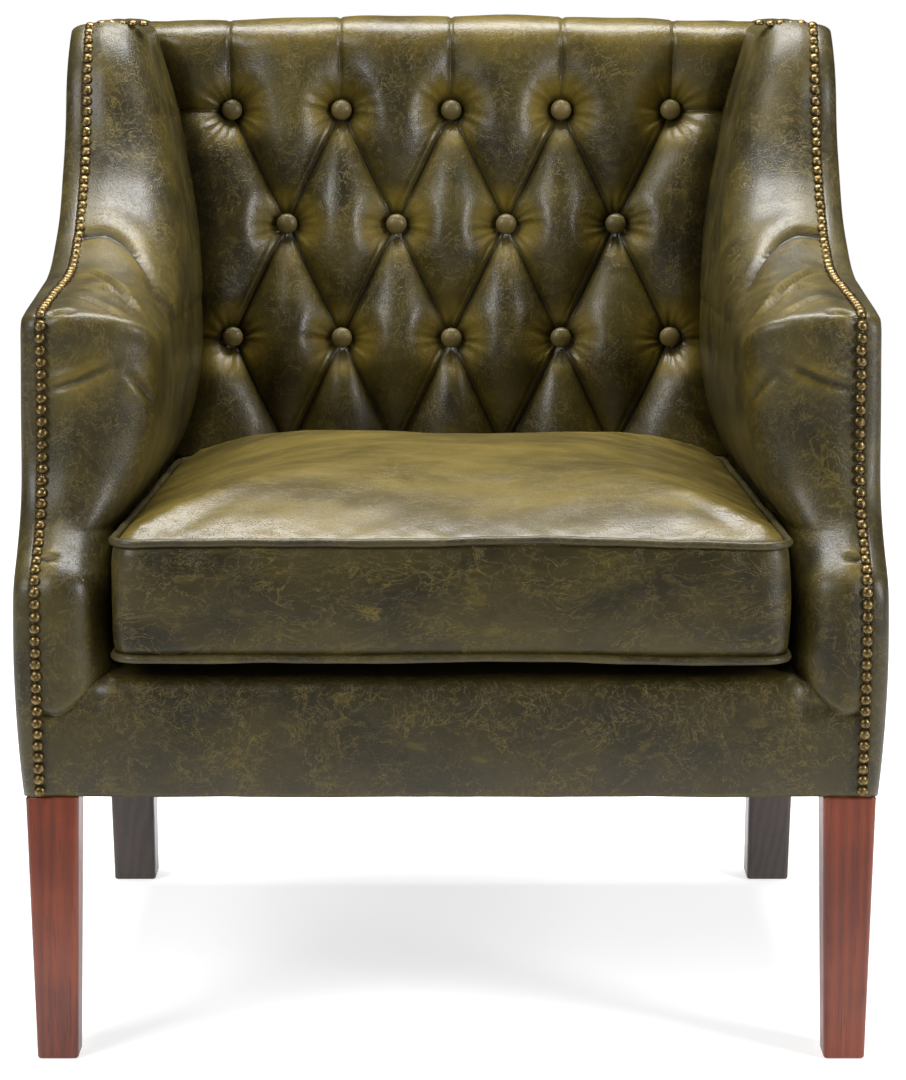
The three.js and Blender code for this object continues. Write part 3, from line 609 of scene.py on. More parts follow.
@dataclass(frozen=True)
class Leather:
    """Waxed, antiqued olive hide."""

    name: str
    deep: Rgb = (0.0150, 0.0118, 0.0030)
    body: Rgb = (0.0560, 0.0420, 0.0062)
    vein: Rgb = (0.180, 0.128, 0.018)
    # Colour of stretched hide, also used as painted light on the cushion top and the back's crest.
    pulled: Rgb = (0.165, 0.117, 0.014)
    vein_size: float = 0.013
    stretch: float = 1.0
    roughness: float = 0.36
    coat: float = 0.08
    relief: float = 0.0005
    rub: float = 0.10

    def colour(self, s: Shader, hide: bpy.types.Node, place: bpy.types.NodeSocket,
               point: bpy.types.Node) -> bpy.types.NodeSocket:
        """Mixes the hide's colour.

        Args:
            s: Tool on the material's tree.
            hide: The placed hide group.
            place: Object coordinates.
            point: Geometry node.

        Returns:
            The colour's socket.
        """
        wear = s.group(EFFECTS.wear, {"Pointiness": point.outputs["Pointiness"],
                                      "Vector": place, "Spread": 0.07})
        dust = s.group(EFFECTS.dust, {"Vector": place, "Normal": point.outputs["Normal"],
                                      "Amount": 0.03})
        pull = s.node("ShaderNodeAttribute", attribute_name="pull").outputs["Fac"]
        fold = s.node("ShaderNodeAttribute", attribute_name="fold").outputs["Fac"]
        colour = s.blend(hide.outputs["Cloud"], rgba(self.deep), rgba(self.body))
        broken = s.math("MULTIPLY_ADD", hide.outputs["Cloud"], 0.55, 0.35)
        # Pull mark: lighter where the hide is stretched, and painted light on the cushion top and
        # the back's crest.
        colour = s.blend(s.math("MULTIPLY", pull, broken), colour, rgba(self.pulled))
        bright = s.math("MULTIPLY", hide.outputs["Vein"], 0.46)
        colour = s.blend(bright, colour, rgba(self.vein))
        colour = s.blend(s.math("MULTIPLY", hide.outputs["Scratch"], 0.16), colour,
                         rgba(self.vein))
        colour = s.blend(s.math("MULTIPLY", wear.outputs["Rubbed"], self.rub), colour,
                         rgba(self.vein))
        # Hollows and the fold mark go near black: painted shade in hollows, seams, creases, pleats
        # and round the buttons.
        painted_shade = s.math("MAXIMUM", wear.outputs["Hollow"], s.math("MULTIPLY", fold, 0.9))
        colour = s.blend(painted_shade, colour, (0.002, 0.0016, 0.0006, 1.0))
        return s.blend(dust.outputs["Dust"], colour, (0.35, 0.33, 0.28, 1.0))

    def material(self) -> bpy.types.Material:
        """Builds the leather's material.

        Returns:
            The material.
        """
        material, s, skin, place = start_material(self.name)
        hide = s.group(EFFECTS.hide, {"Vector": place, "Vein Size": self.vein_size,
                                      "Stretch": self.stretch, "Pebble Size": 0.0015})
        point = s.node("ShaderNodeNewGeometry")
        s.tree.links.new(self.colour(s, hide, place, point), skin.inputs["Base Color"])
        uneven = s.math("MULTIPLY_ADD", hide.outputs["Vein"], 0.08, self.roughness)
        rough = s.math("MULTIPLY_ADD", hide.outputs["Cloud"], 0.07, uneven)
        s.tree.links.new(rough, skin.inputs["Roughness"])
        skin.inputs["Coat Weight"].default_value = self.coat
        skin.inputs["Coat Roughness"].default_value = 0.22
        skin.inputs["Coat IOR"].default_value = 1.45
        skin.inputs["Specular IOR Level"].default_value = 0.38
        bump = s.node("ShaderNodeBump", {"Height": hide.outputs["Height"],
                                         "Distance": self.relief, "Strength": 0.45})
        s.tree.links.new(bump.outputs[0], skin.inputs["Normal"])
        return material


@dataclass(frozen=True)
class Metal:
    """Antiqued metal, brighter where it is rubbed."""

    name: str
    dark: Rgb
    bright: Rgb
    roughness: float = 0.32

    def material(self) -> bpy.types.Material:
        """Builds the metal's material.

        Returns:
            The material.
        """
        material, s, skin, place = start_material(self.name)
        point = s.node("ShaderNodeNewGeometry")
        wear = s.group(EFFECTS.wear, {"Pointiness": point.outputs["Pointiness"],
                                      "Vector": place, "Spread": 0.10})
        tarnish = s.node("ShaderNodeTexNoise", {"Vector": place, "Scale": 420.0,
                                                "Detail": 4.0})
        patch = s.ramp(tarnish.outputs[0], 0.38, 0.66)
        colour = s.blend(patch, rgba(self.dark), rgba(self.bright))
        colour = s.blend(s.math("MULTIPLY", wear.outputs["Rubbed"], 0.6), colour,
                         rgba(self.bright))
        s.tree.links.new(colour, skin.inputs["Base Color"])
        skin.inputs["Metallic"].default_value = 1.0
        s.tree.links.new(s.math("MULTIPLY_ADD", patch, -0.12, self.roughness + 0.08),
                         skin.inputs["Roughness"])
        bump = s.node("ShaderNodeBump", {"Height": tarnish.outputs[0], "Distance": 0.0002,
                                         "Strength": 0.5})
        s.tree.links.new(bump.outputs[0], skin.inputs["Normal"])
        return material


@dataclass(frozen=True)
class Timber:
    """Stained or bare wood."""

    name: str
    dark: Rgb
    light: Rgb
    band: float = 0.006
    figure: float = 0.55
    roughness: float = 0.38
    coat: float = 0.25

    def material(self) -> bpy.types.Material:
        """Builds the wood's material.

        Returns:
            The material.
        """
        material, s, skin, place = start_material(self.name)
        wood = s.group(EFFECTS.timber, {"Vector": place, "Band": self.band})
        point = s.node("ShaderNodeNewGeometry")
        wear = s.group(EFFECTS.wear, {"Pointiness": point.outputs["Pointiness"],
                                      "Vector": place, "Spread": 0.12})
        slow = s.node("ShaderNodeTexNoise", {"Vector": place, "Scale": 11.0, "Detail": 3.0})
        share = s.math("ADD", s.math("MULTIPLY", wood.outputs["Figure"], self.figure),
                       s.ramp(slow.outputs[0], 0.35, 0.7, 0.0, 1.0 - self.figure))
        colour = s.blend(share, rgba(self.dark), rgba(self.light))
        pore = tuple(c * 0.35 for c in self.dark)
        colour = s.blend(s.math("MULTIPLY", wood.outputs["Pore"], 0.5), colour, rgba(pore))
        colour = s.blend(s.math("MULTIPLY", wear.outputs["Rubbed"], 0.7), colour, rgba(pore))
        s.tree.links.new(colour, skin.inputs["Base Color"])
        s.tree.links.new(s.math("MULTIPLY_ADD", wood.outputs["Pore"], 0.15, self.roughness),
                         skin.inputs["Roughness"])
        skin.inputs["Coat Weight"].default_value = self.coat
        skin.inputs["Coat Roughness"].default_value = 0.2
        bump = s.node("ShaderNodeBump", {"Height": wood.outputs["Height"],
                                         "Distance": 0.00015, "Strength": 0.5})
        s.tree.links.new(bump.outputs[0], skin.inputs["Normal"])
        return material


@dataclass(frozen=True)
class Cloth:
    """Woven or felted cloth, foam and webbing."""

    name: str
    shade: Rgb
    light: Rgb
    thread: float = 0.0012
    roughness: float = 0.9

    def material(self) -> bpy.types.Material:
        """Builds the cloth's material.

        Returns:
            The material.
        """
        material, s, skin, place = start_material(self.name)
        weave = s.group(EFFECTS.weave, {"Vector": place, "Thread": self.thread})
        point = s.node("ShaderNodeNewGeometry")
        dust = s.group(EFFECTS.dust, {"Vector": place, "Normal": point.outputs["Normal"],
                                      "Amount": 0.1})
        colour = s.blend(weave.outputs["Thread"], rgba(self.shade), rgba(self.light))
        colour = s.blend(dust.outputs["Dust"], colour, (0.4, 0.38, 0.34, 1.0))
        s.tree.links.new(colour, skin.inputs["Base Color"])
        skin.inputs["Roughness"].default_value = self.roughness
        bump = s.node("ShaderNodeBump", {"Height": weave.outputs["Height"],
                                         "Distance": 0.0003, "Strength": 0.6})
        s.tree.links.new(bump.outputs[0], skin.inputs["Normal"])
        return material


class Slot(Enum):
    """Material slot names."""

    OLIVE = "olive_leather"
    SHADED = "shaded_leather"
    PIPING = "piping_leather"
    BRASS = "brass"
    MAHOGANY = "mahogany"
    DARK_WOOD = "dark_wood"
    BEECH = "beech"
    FOAM = "foam"
    WEBBING = "webbing"
    DUST_CLOTH = "dust_cloth"


class Finishes:
    """Every finish of the chair, made into a material once."""

    def __init__(self) -> None:
        """Builds the materials."""
        self.olive = Leather("olive_hide").material()
        self.tufted = Leather("tufted_hide", roughness=0.30).material()
        self.seat = Leather("seat_hide", body=(0.048, 0.036, 0.0055), stretch=0.55,
                            roughness=0.37).material()
        # Darker copy of the hide for the front border: painted shade under the cushion's overhang.
        self.border = Leather("border_hide_painted_shade", body=(0.036, 0.027, 0.0042)).material()
        self.shaded = Leather("shaded_hide", body=(0.05, 0.039, 0.010)).material()
        self.piping = Leather("piping_hide", body=(0.052, 0.040, 0.009), vein_size=0.006,
                              roughness=0.4, rub=0.05).material()
        self.button = Leather("button_hide", deep=(0.070, 0.054, 0.016),
                              body=(0.145, 0.108, 0.034), vein_size=0.008,
                              roughness=0.36, rub=0.0).material()
        self.brass = Metal("antique_brass", (0.045, 0.031, 0.012), (0.24, 0.168, 0.070),
                           roughness=0.38).material()
        self.mahogany = Timber("mahogany", (0.100, 0.016, 0.005), (0.22, 0.040, 0.011),
                               band=0.011, figure=0.4, coat=0.1).material()
        self.dark_wood = Timber("dark_wood", (0.018, 0.009, 0.006), (0.045, 0.024, 0.017),
                                band=0.010).material()
        self.beech = Timber("beech", (0.45, 0.28, 0.14), (0.62, 0.42, 0.24), coat=0.0,
                            roughness=0.6).material()
        self.foam = Cloth("foam", (0.72, 0.62, 0.38), (0.82, 0.74, 0.5), 0.0009).material()
        self.platform = Cloth("platform_cloth", (0.020, 0.017, 0.010), (0.060, 0.052, 0.032),
                              0.0010).material()
        self.webbing = Cloth("webbing", (0.018, 0.018, 0.018), (0.05, 0.05, 0.05),
                             0.0022).material()
        self.dust_cloth = Cloth("dust_cloth", (0.008, 0.008, 0.008), (0.02, 0.02, 0.02),
                                0.0008).material()


# ---- Lines that several pieces share -------------------------------------------------------


@dataclass
class ChairLines:
    """The lines that the upholstery follows, worked out from the frame's sizes."""

    base: float = BASE
    top: float = TOP
    half: float = HALF_WIDTH
    knee: float = 0.419  # height where the lower arm front stands furthest forward
    knee_forward: float = 0.010
    arm_front: float = 0.067
    arm_top: float = 0.632
    arm_rise: float = 0.019
    wing_start: float = 0.235
    wing_top: float = 0.440
    wing_corner: float = 0.042
    nail_inset: float = 0.018
    side_taper: float = 0.008
    seat: float = 0.448
    rear_top: float = 0.670
    rake: float = 0.064
    leather: float = 0.0025

    def side_edge(self, step: float = 0.003) -> Array:
        """Traces the nailed edge of a side from the foot of the border to the wing's top.

        Args:
            step: Distance between points.

        Returns:
            (depth, height) rows.
        """
        arm = self.arm_top + self.arm_rise
        rise = self.top - arm
        turn = self.knee + 0.3 * (self.arm_top - self.knee) + 0.062
        low = self.top - 1.4 * self.wing_corner
        corner = self.wing_top - self.wing_corner
        front = self.arm_front
        span = self.wing_top - self.wing_start
        runs = [
            [(0.002, self.base), (-1.3 * self.knee_forward, (self.base + self.knee) / 2),
             (-self.knee_forward, self.knee)],
            [(-self.knee_forward, self.knee), (0.5 * front, self.knee + 0.027),
             (front, self.knee + 0.042), (front, turn)],
            [(front, turn), (front, self.arm_top - 0.014)],
            [(front, self.arm_top - 0.014), (front, self.arm_top), (front + 0.014,
                                                                   self.arm_top + 0.0005)],
            [(front + 0.014, self.arm_top + 0.0005), ((front + self.wing_start) / 2,
                                                      self.arm_top + 0.009),
             (self.wing_start, arm)],
            [(self.wing_start, arm), (self.wing_start + 0.42 * span, arm + 0.08 * rise),
             (self.wing_start + 0.73 * span, arm + 0.39 * rise), (corner, low)],
            [(corner, low), (self.wing_top - 0.76 * self.wing_corner,
                             self.top - 0.4 * self.wing_corner), (self.wing_top, self.top)],
        ]
        path = np.concatenate([bezier(run, 40)[1 if i else 0:] for i, run in enumerate(runs)])
        path = resample(path, 0.002)
        near = np.exp(-(((path[:, 1] - self.knee - 0.01) / 0.05) ** 2))[1:-1, None]
        for _ in range(90):
            path[1:-1] += 0.5 * near * ((path[:-2] + path[2:]) / 2 - path[1:-1])
        return resample(path, step)

    def back_line(self, z: Array) -> Array:
        """Returns the depth of the outside back's face at a height."""
        return self.rear_top - self.rake * (1 - (z - self.base) / (self.top - self.base))

    def back_face(self, z: Array) -> Array:
        """Returns the depth of the inside back's face at a height, before buttoning."""
        seat = np.maximum(z, self.seat)
        up = (seat - self.seat) / (self.top - self.seat)
        return self.back_line(seat) - mix(0.118, 0.108, up) + 0.1 * (seat - z)

    def nail_line(self, d: Array) -> Array:
        """Returns the distance of the nails from the chair's middle at a depth."""
        along = (d - self.arm_front) / (self.wing_start - self.arm_front)
        return self.half - self.nail_inset - self.side_taper * smooth(along)

    def inside_line(self, d: Array, z: Array) -> Array:
        """Returns the distance of an arm's or wing's inside from the chair's middle."""
        edge = self.half - self.nail_inset
        back = np.clip(d / 0.503, 0.0, 1.0)
        beside = edge - 0.058 - 0.017 * back
        over = edge - 0.098 - 0.006 * back
        wing = edge - 0.057 - 0.004 * back
        share = np.clip((z - self.arm_top + 0.010) / (self.top - self.arm_top), 0.0, 1.0) ** 1.6
        turn = 1 - (1 - np.clip((z - self.seat - 0.002) / 0.112, 0.0, 1.0)) ** 2.2
        arm = mix(beside, over, turn)
        return mix(arm, np.maximum(wing, over), share)

    def outside_line(self, d: Array, z: Array) -> Array:
        """Returns the distance of a side's outside from the chair's middle."""
        full = 0.350
        below = np.where(z < full, 0.5 * ((full - z) / (full - self.base)) ** 2, 0.0)
        swell = 1 - 0.35 * np.abs((z - full) / (self.top - full)) - below
        return (mix(self.nail_line(d) + 0.009, self.half, swell)
                - 0.004 * smooth(d / self.rear_top))


def placed(x: Array, d: Array, z: Array) -> Array:
    """Returns points of the row frame from a distance to the right, a depth and a height."""
    return np.stack(np.broadcast_arrays(x, np.asarray(d) + FRONT, z), axis=-1)


# ---- Arms and wings ------------------------------------------------------------------------


class Seen(Enum):
    """The side from which a crease's places are given; the surface says the rest."""

    FRONT = 2  # places are an inset from the nails and a height
    ABOVE = 1  # places are an inset from the nails and a depth


@dataclass(frozen=True)
class Crease:
    """A pleat or fold pulled into the leather along a line."""

    places: tuple[tuple[float, float], ...]
    seen: Seen = Seen.FRONT
    depth: float = 0.003
    width: float = 0.0028
    ridge: float = 0.0012
    fade: float = 0.35


@dataclass
class SidePadding:
    """The padded inside and front of an arm and wing, as one surface cut at the seam."""

    lines: ChairLines
    look: Finishes
    row_step: float = 0.0024
    rim: float = 0.046  # how deep the rounding from the nails to the inside goes
    fullness: float = 2.5
    seam_height: float = 0.680  # between arm and wing, at the nails
    seam_drop: float = 0.041
    seam_flat: float = 0.320  # how far out from the middle the seam starts to drop
    seam_run: float = 0.0534
    creases: tuple[Crease, ...] = (
        Crease(((0.004, 0.074), (0.015, 0.080), (0.033, 0.073)), Seen.ABOVE,
               depth=0.0040, width=0.0030, ridge=0.0022),
        Crease(((0.003, 0.566), (0.035, 0.574), (0.072, 0.593)), depth=0.0030, ridge=0.0018),
        Crease(((0.074, 0.582), (0.088, 0.569), (0.094, 0.551))),
        Crease(((0.003, 0.431), (0.012, 0.431), (0.022, 0.430)), depth=0.0034),
        Crease(((0.014, 0.240), (0.031, 0.240), (0.056, 0.190), (0.077, 0.093)), Seen.ABOVE,
               depth=0.0042, ridge=0.0026),
        Crease(((0.014, 0.180), (0.052, 0.161), (0.091, 0.107)), Seen.ABOVE,
               depth=0.0040, ridge=0.0024),
        Crease(((0.014, 0.131), (0.048, 0.113), (0.073, 0.075)), Seen.ABOVE,
               depth=0.0036, ridge=0.0022),
    )

    def seam_fall(self, x: Array) -> Array:
        """Returns how far the seam has dropped at a distance from the chair's middle."""
        inward = np.maximum((self.seam_flat - np.abs(x)) / self.seam_run, 0.0)
        return self.seam_drop * inward**1.8

    def rows(self) -> tuple[Array, Array]:
        """Pairs points of the nailed edge with points at the rear and foot of the padding.

        Returns:
            Edge points and far points, (depth, height) rows.
        """
        lines = self.lines
        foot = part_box("arm_cover_right")[0].z
        edge = lines.side_edge(self.row_step)
        edge = edge[edge[:, 1] > foot]
        edge = np.vstack([[np.interp(foot, edge[:, 1], edge[:, 0]), foot], edge])
        rear = lines.back_line(lines.top) - 0.006
        along_top = resample(np.array([[edge[-1, 0], lines.top], [rear, lines.top]]), 0.006)
        edge = np.vstack([edge, along_top[1:]])
        high = lines.top - 0.03
        far = np.array([[0.15, foot], [lines.back_line(foot) - 0.006, foot],
                        [lines.back_line(high) - 0.006, high]])
        gaps = np.linalg.norm(np.diff(edge, axis=0), axis=1)
        run = np.concatenate([[0.0], np.cumsum(gaps)]) / gaps.sum()
        dense = resample(far, 0.002)
        share = np.linspace(0.0, 1.0, len(dense))
        target = np.stack([np.interp(run, share, dense[:, k]) for k in range(2)], axis=1)
        return edge, target

    def surface(self) -> tuple[Array, Array]:
        """Builds the right-hand padding.

        Returns:
            The visible surface and the hidden one behind it, rows by columns by 3.
        """
        lines = self.lines
        edge, target = self.rows()
        tangent = np.gradient(edge, axis=0)
        tangent /= np.linalg.norm(tangent, axis=1, keepdims=True)
        reach = target - edge
        length = np.linalg.norm(reach, axis=1)
        heading = reach / length[:, None]
        cross = np.abs(tangent[:, 0] * heading[:, 1] - tangent[:, 1] * heading[:, 0])
        on_top = smooth((edge[:, 0] - lines.wing_top + 0.02) / 0.03)
        rim = np.minimum(mix(self.rim, 0.012, on_top), 0.55 * length)
        u = np.concatenate([np.linspace(0.0, 0.9, 22), 1 - 0.1 * (1 - np.linspace(0.1, 1, 9)) ** 2])
        drop = 1 - (1 - u**self.fullness) ** (1 / self.fullness)
        near = np.minimum(rim / np.maximum(cross, 0.45), 0.7 * length)
        rest = np.linspace(0.0, 1.0, 86)[1:]
        steps = np.concatenate([near[:, None] * drop[None, :],
                                near[:, None] + (length - near)[:, None] * rest[None, :]], axis=1)
        share = np.concatenate([u, np.ones(len(rest))])[None, :]
        d = edge[:, :1] + heading[:, :1] * steps
        z = edge[:, 1:] + heading[:, 1:] * steps
        nail = lines.nail_line(edge[:, :1])
        x = mix(nail, lines.inside_line(d, z), share)
        front = placed(x, d, z)
        back = placed(lines.nail_line(d) + 0.0 * x, d, z)
        back[:, 0] = front[:, 0]
        return self.soften(front, share), back

    def soften(self, front: Array, share: Array) -> Array:
        """Adds the swell, the tuck at the nails, the seam and the creases.

        Args:
            front: Surface grid.
            share: How far across from the nails to the inside each column is.

        Returns:
            The finished grid.
        """
        normal = grid_normals(front)
        if normal[40, 60, 0] > 0:
            normal = -normal
        z = front[..., 2]
        swell = 0.0034 * smooth((share - 0.03) / 0.3) * smooth((1.1 - share) / 0.5)
        tuck = -0.0012 * np.exp(-((share / 0.04) ** 2))
        soft = 0.0011 * ripple(front, 0.16, 3) + 0.0005 * ripple(front, 0.055, 5)
        seam = z - self.seam_height + self.seam_fall(front[..., 0])
        tight = mix(0.12, 1.0, smooth((front[..., 0] - 0.258) / 0.028))
        groove = -0.0050 * tight * np.exp(-((seam / 0.0034) ** 2))
        plump = 0.0024 * tight * np.exp(-(((np.abs(seam) - 0.014) / 0.011) ** 2))
        moved = (swell + tuck + soft + groove + plump) * np.where(share > 0, 1.0, 0.0)
        # Dark line along the seam groove: painted shade. Pale band beside it: pull-up stretch.
        self.fold_shade = tight * np.exp(-((seam / 0.0022) ** 2))
        self.pulled = 0.45 * tight * np.exp(-((seam / 0.022) ** 2))
        for crease in self.creases:
            step, dark, pale = self.fold(front, crease)
            moved = moved + step
            self.fold_shade = np.maximum(self.fold_shade, dark)
            self.pulled = np.maximum(self.pulled, pale)
        finished = front + normal * moved[..., None]
        return self.hem(finished)

    def hem(self, front: Array) -> Array:
        """Turns the foot of the arm front under, higher on the inside than at the nails."""
        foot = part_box("arm_cover_right")[0].z
        x, d, z = front[..., 0], front[..., 1] - FRONT, front[..., 2]
        near = np.exp(-(np.maximum(z - foot, 0.0) / 0.022) ** 2) * smooth((0.10 - d) / 0.04)
        outer = float(self.lines.nail_line(np.array(0.0)))
        lift = 0.024 * smooth((outer - 0.016 - x) / 0.045) * near
        under = 0.0055 * np.exp(-(np.maximum(z - foot, 0.0) / 0.0045) ** 2)
        under = under * smooth((0.09 - d) / 0.03)
        raised = front.copy()
        raised[..., 2] += lift
        raised[..., 1] += under
        return raised

    def lay(self, front: Array, crease: Crease) -> Array:
        """Finds where a crease's line lies on the surface.

        Args:
            front: Surface grid.
            crease: The crease.

        Returns:
            Points along the crease.
        """
        nails = self.lines.half - self.lines.nail_inset
        from_above = crease.seen is Seen.ABOVE
        start = FRONT if from_above else 0.0
        flat = front.reshape(-1, 3)
        behind = -flat[:, 2] if from_above else flat[:, 1]
        path = []
        for inset, place in bezier(list(crease.places), 14):
            gap = np.hypot(flat[:, 0] - nails + inset, flat[:, crease.seen.value] - place - start)
            path.append(flat[int(np.argmin(gap + 0.1 * behind))])
        return np.array(path)

    def fold(self, front: Array, crease: Crease) -> tuple[Array, Array, Array]:
        """Works out what one crease does to the surface.

        Args:
            front: Surface grid.
            crease: The crease.

        Returns:
            Distance out along the normal, painted shade along the crease and stretch at each point.
        """
        path = self.lay(front, crease)
        for _ in range(4):
            path[1:-1] = (path[:-2] + 2 * path[1:-1] + path[2:]) / 4
        gap, along = path_distance(front, path)
        strength = smooth(along / crease.fade) * smooth((1 - along) / crease.fade)
        sunk = -crease.depth * np.exp(-((gap / crease.width) ** 2))
        raised = crease.ridge * np.exp(-(((gap - 2.6 * crease.width) / (1.5 * crease.width)) ** 2))
        # Dark line in the crease's floor: painted shade.
        dark = 0.8 * np.exp(-((gap / (0.6 * crease.width)) ** 2)) * strength
        pale = 0.7 * np.exp(-((gap / (6.0 * crease.width)) ** 2)) * strength
        return (sunk + raised) * strength, dark, pale

    def build(self) -> None:
        """Makes the arm and wing paddings of both sides."""
        front, back = self.surface()
        marks = {"fold": self.fold_shade, "pull": self.pulled}
        for side, sign in SIDES:
            mirror = np.array([sign, 1.0, 1.0])
            whole = slab_object(f"padding_{side}", front * mirror, back * mirror, marks)
            for part, above in (("arm", False), ("wing", True)):
                piece = self.cut(whole, f"{part}_padding_{side}", above)
                dress(piece, self.look.olive)
                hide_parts(f"{part}_cover_{side}", f"{part}_foam_{side}")
                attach(piece, "chair")
                LOG.info("%s: %d faces", piece.name, len(piece.data.polygons))
            bpy.data.objects.remove(whole)

    def cut(self, whole: bpy.types.Object, name: str, above: bool) -> bpy.types.Object:
        """Keeps what lies on one side of the seam.

        Args:
            whole: The uncut padding.
            name: Name of the new piece.
            above: Whether to keep the wing rather than the arm.

        Returns:
            The closed piece.
        """
        form = bmesh.new()
        form.from_mesh(whole.data)
        for vertex in form.verts:
            vertex.co.z += float(self.seam_fall(vertex.co.x))
        up = Vector((0.0, 0.0, 1.0))
        shift = 0.0001 if above else -0.0001
        point = Vector((0.0, 0.0, self.seam_height + shift))
        geometry = form.verts[:] + form.edges[:] + form.faces[:]
        result = bmesh.ops.bisect_plane(form, geom=geometry, plane_co=point, plane_no=up,
                                        clear_inner=above, clear_outer=not above)
        edges = [e for e in result["geom_cut"] if isinstance(e, bmesh.types.BMEdge)]
        rim = [e for e in edges if e.is_boundary]
        for face in form.faces:
            face.smooth = True
        caps = bmesh.ops.edgenet_fill(form, edges=rim)["faces"]
        for face in caps:
            face.smooth = False
        for edge in rim:
            edge.smooth = False
        for vertex in form.verts:
            vertex.co.z -= float(self.seam_fall(vertex.co.x))
        bmesh.ops.triangulate(form, faces=caps)
        bmesh.ops.recalc_face_normals(form, faces=form.faces)
        mesh = bpy.data.meshes.new(name)
        form.to_mesh(mesh)
        form.free()
        piece = bpy.data.objects.new(name, mesh)
        bpy.context.scene.collection.objects.link(piece)
        return piece


# ---- Outside panels ------------------------------------------------------------------------


@dataclass
class OutsidePanels:
    """The plain leather of the two outside panels and of the outside back."""

    lines: ChairLines
    look: Finishes
    corner: float = 0.012

    def side(self) -> tuple[Array, Array]:
        """Builds the right-hand panel's outer and inner surface grids."""
        lines = self.lines
        edge = lines.side_edge(0.005)
        along_top = np.array([[edge[-1, 0] + 0.006 * k, lines.top] for k in range(1, 38)])
        along_top = along_top[along_top[:, 0] < lines.back_line(lines.top) - 0.006]
        edge = np.vstack([edge, along_top])
        rear = lines.back_line(lines.base) - 0.004
        high = lines.back_line(lines.top - 0.02) - 0.004
        far = resample(np.array([[0.10, lines.base], [rear, lines.base],
                                 [high, lines.top - 0.02]]), 0.002)
        gaps = np.linalg.norm(np.diff(edge, axis=0), axis=1)
        run = np.concatenate([[0.0], np.cumsum(gaps)]) / gaps.sum()
        share = np.linspace(0.0, 1.0, len(far))
        target = np.stack([np.interp(run, share, far[:, k]) for k in range(2)], axis=1)
        reach = target - edge
        length = np.linalg.norm(reach, axis=1, keepdims=True)
        angle = np.linspace(0.0, math.pi / 2, 8)[None, :]
        rim = np.minimum(self.corner, 0.5 * length)
        steps = np.concatenate([rim * (1 - np.cos(angle)),
                                rim + (length - rim) * np.linspace(0, 1, 50)[None, 1:]], axis=1)
        out = np.concatenate([np.sin(angle), np.ones((1, 49))], axis=1)
        d = edge[:, :1] + reach[:, :1] / length * steps
        z = edge[:, 1:] + reach[:, 1:] / length * steps
        inner = lines.nail_line(edge[:, :1])
        x = mix(inner, lines.outside_line(d, z), out)
        outer = placed(x, d, z)
        outer[..., 0] += 0.0006 * ripple(outer, 0.12, 11) * out
        back = placed(lines.nail_line(d) + 0.0 * x, d, z)
        back[:, 0] = outer[:, 0]
        return outer, back

    def rear(self) -> tuple[Array, Array]:
        """Builds the outside back's two surface grids."""
        lines = self.lines
        low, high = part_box("outside_back_panel")
        z = np.linspace(low.z, high.z, 130)[:, None]
        half = lines.outside_line(lines.back_line(z), z) - 0.0015
        s = np.linspace(-1.0, 1.0, 150)[None, :]
        x = half * np.sign(s) * (1 - (1 - np.abs(s)) ** 1.15)
        rim = np.minimum((1 - np.abs(s)) * half, np.minimum(z - low.z, high.z - z))
        tuck = 0.006 * (1 - smooth(rim / 0.014))
        puff = 0.0025 * smooth(rim / 0.09)
        d = lines.back_line(z) - tuck + puff
        outer = placed(x, d, z)
        outer[..., 1] += 0.0007 * ripple(outer, 0.14, 21)
        inner = placed(x, lines.back_line(z) - 0.008 + 0.0 * x, z)
        return outer, inner

    def build(self) -> None:
        """Makes both outside panels and the outside back."""
        outer, inner = self.side()
        for side, sign in SIDES:
            mirror = np.array([sign, 1.0, 1.0])
            piece = slab_object(f"outside_leather_{side}", outer * mirror, inner * mirror)
            dress(piece, self.look.shaded)
            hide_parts(f"outside_panel_{side}")
            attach(piece, "chair")
            LOG.info("%s", piece.name)
        piece = slab_object("outside_back_leather", *self.rear())
        dress(piece, self.look.shaded)
        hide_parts("outside_back_panel")
        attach(piece, "chair")
        LOG.info("%s", piece.name)


# ---- Buttoned back -------------------------------------------------------------------------


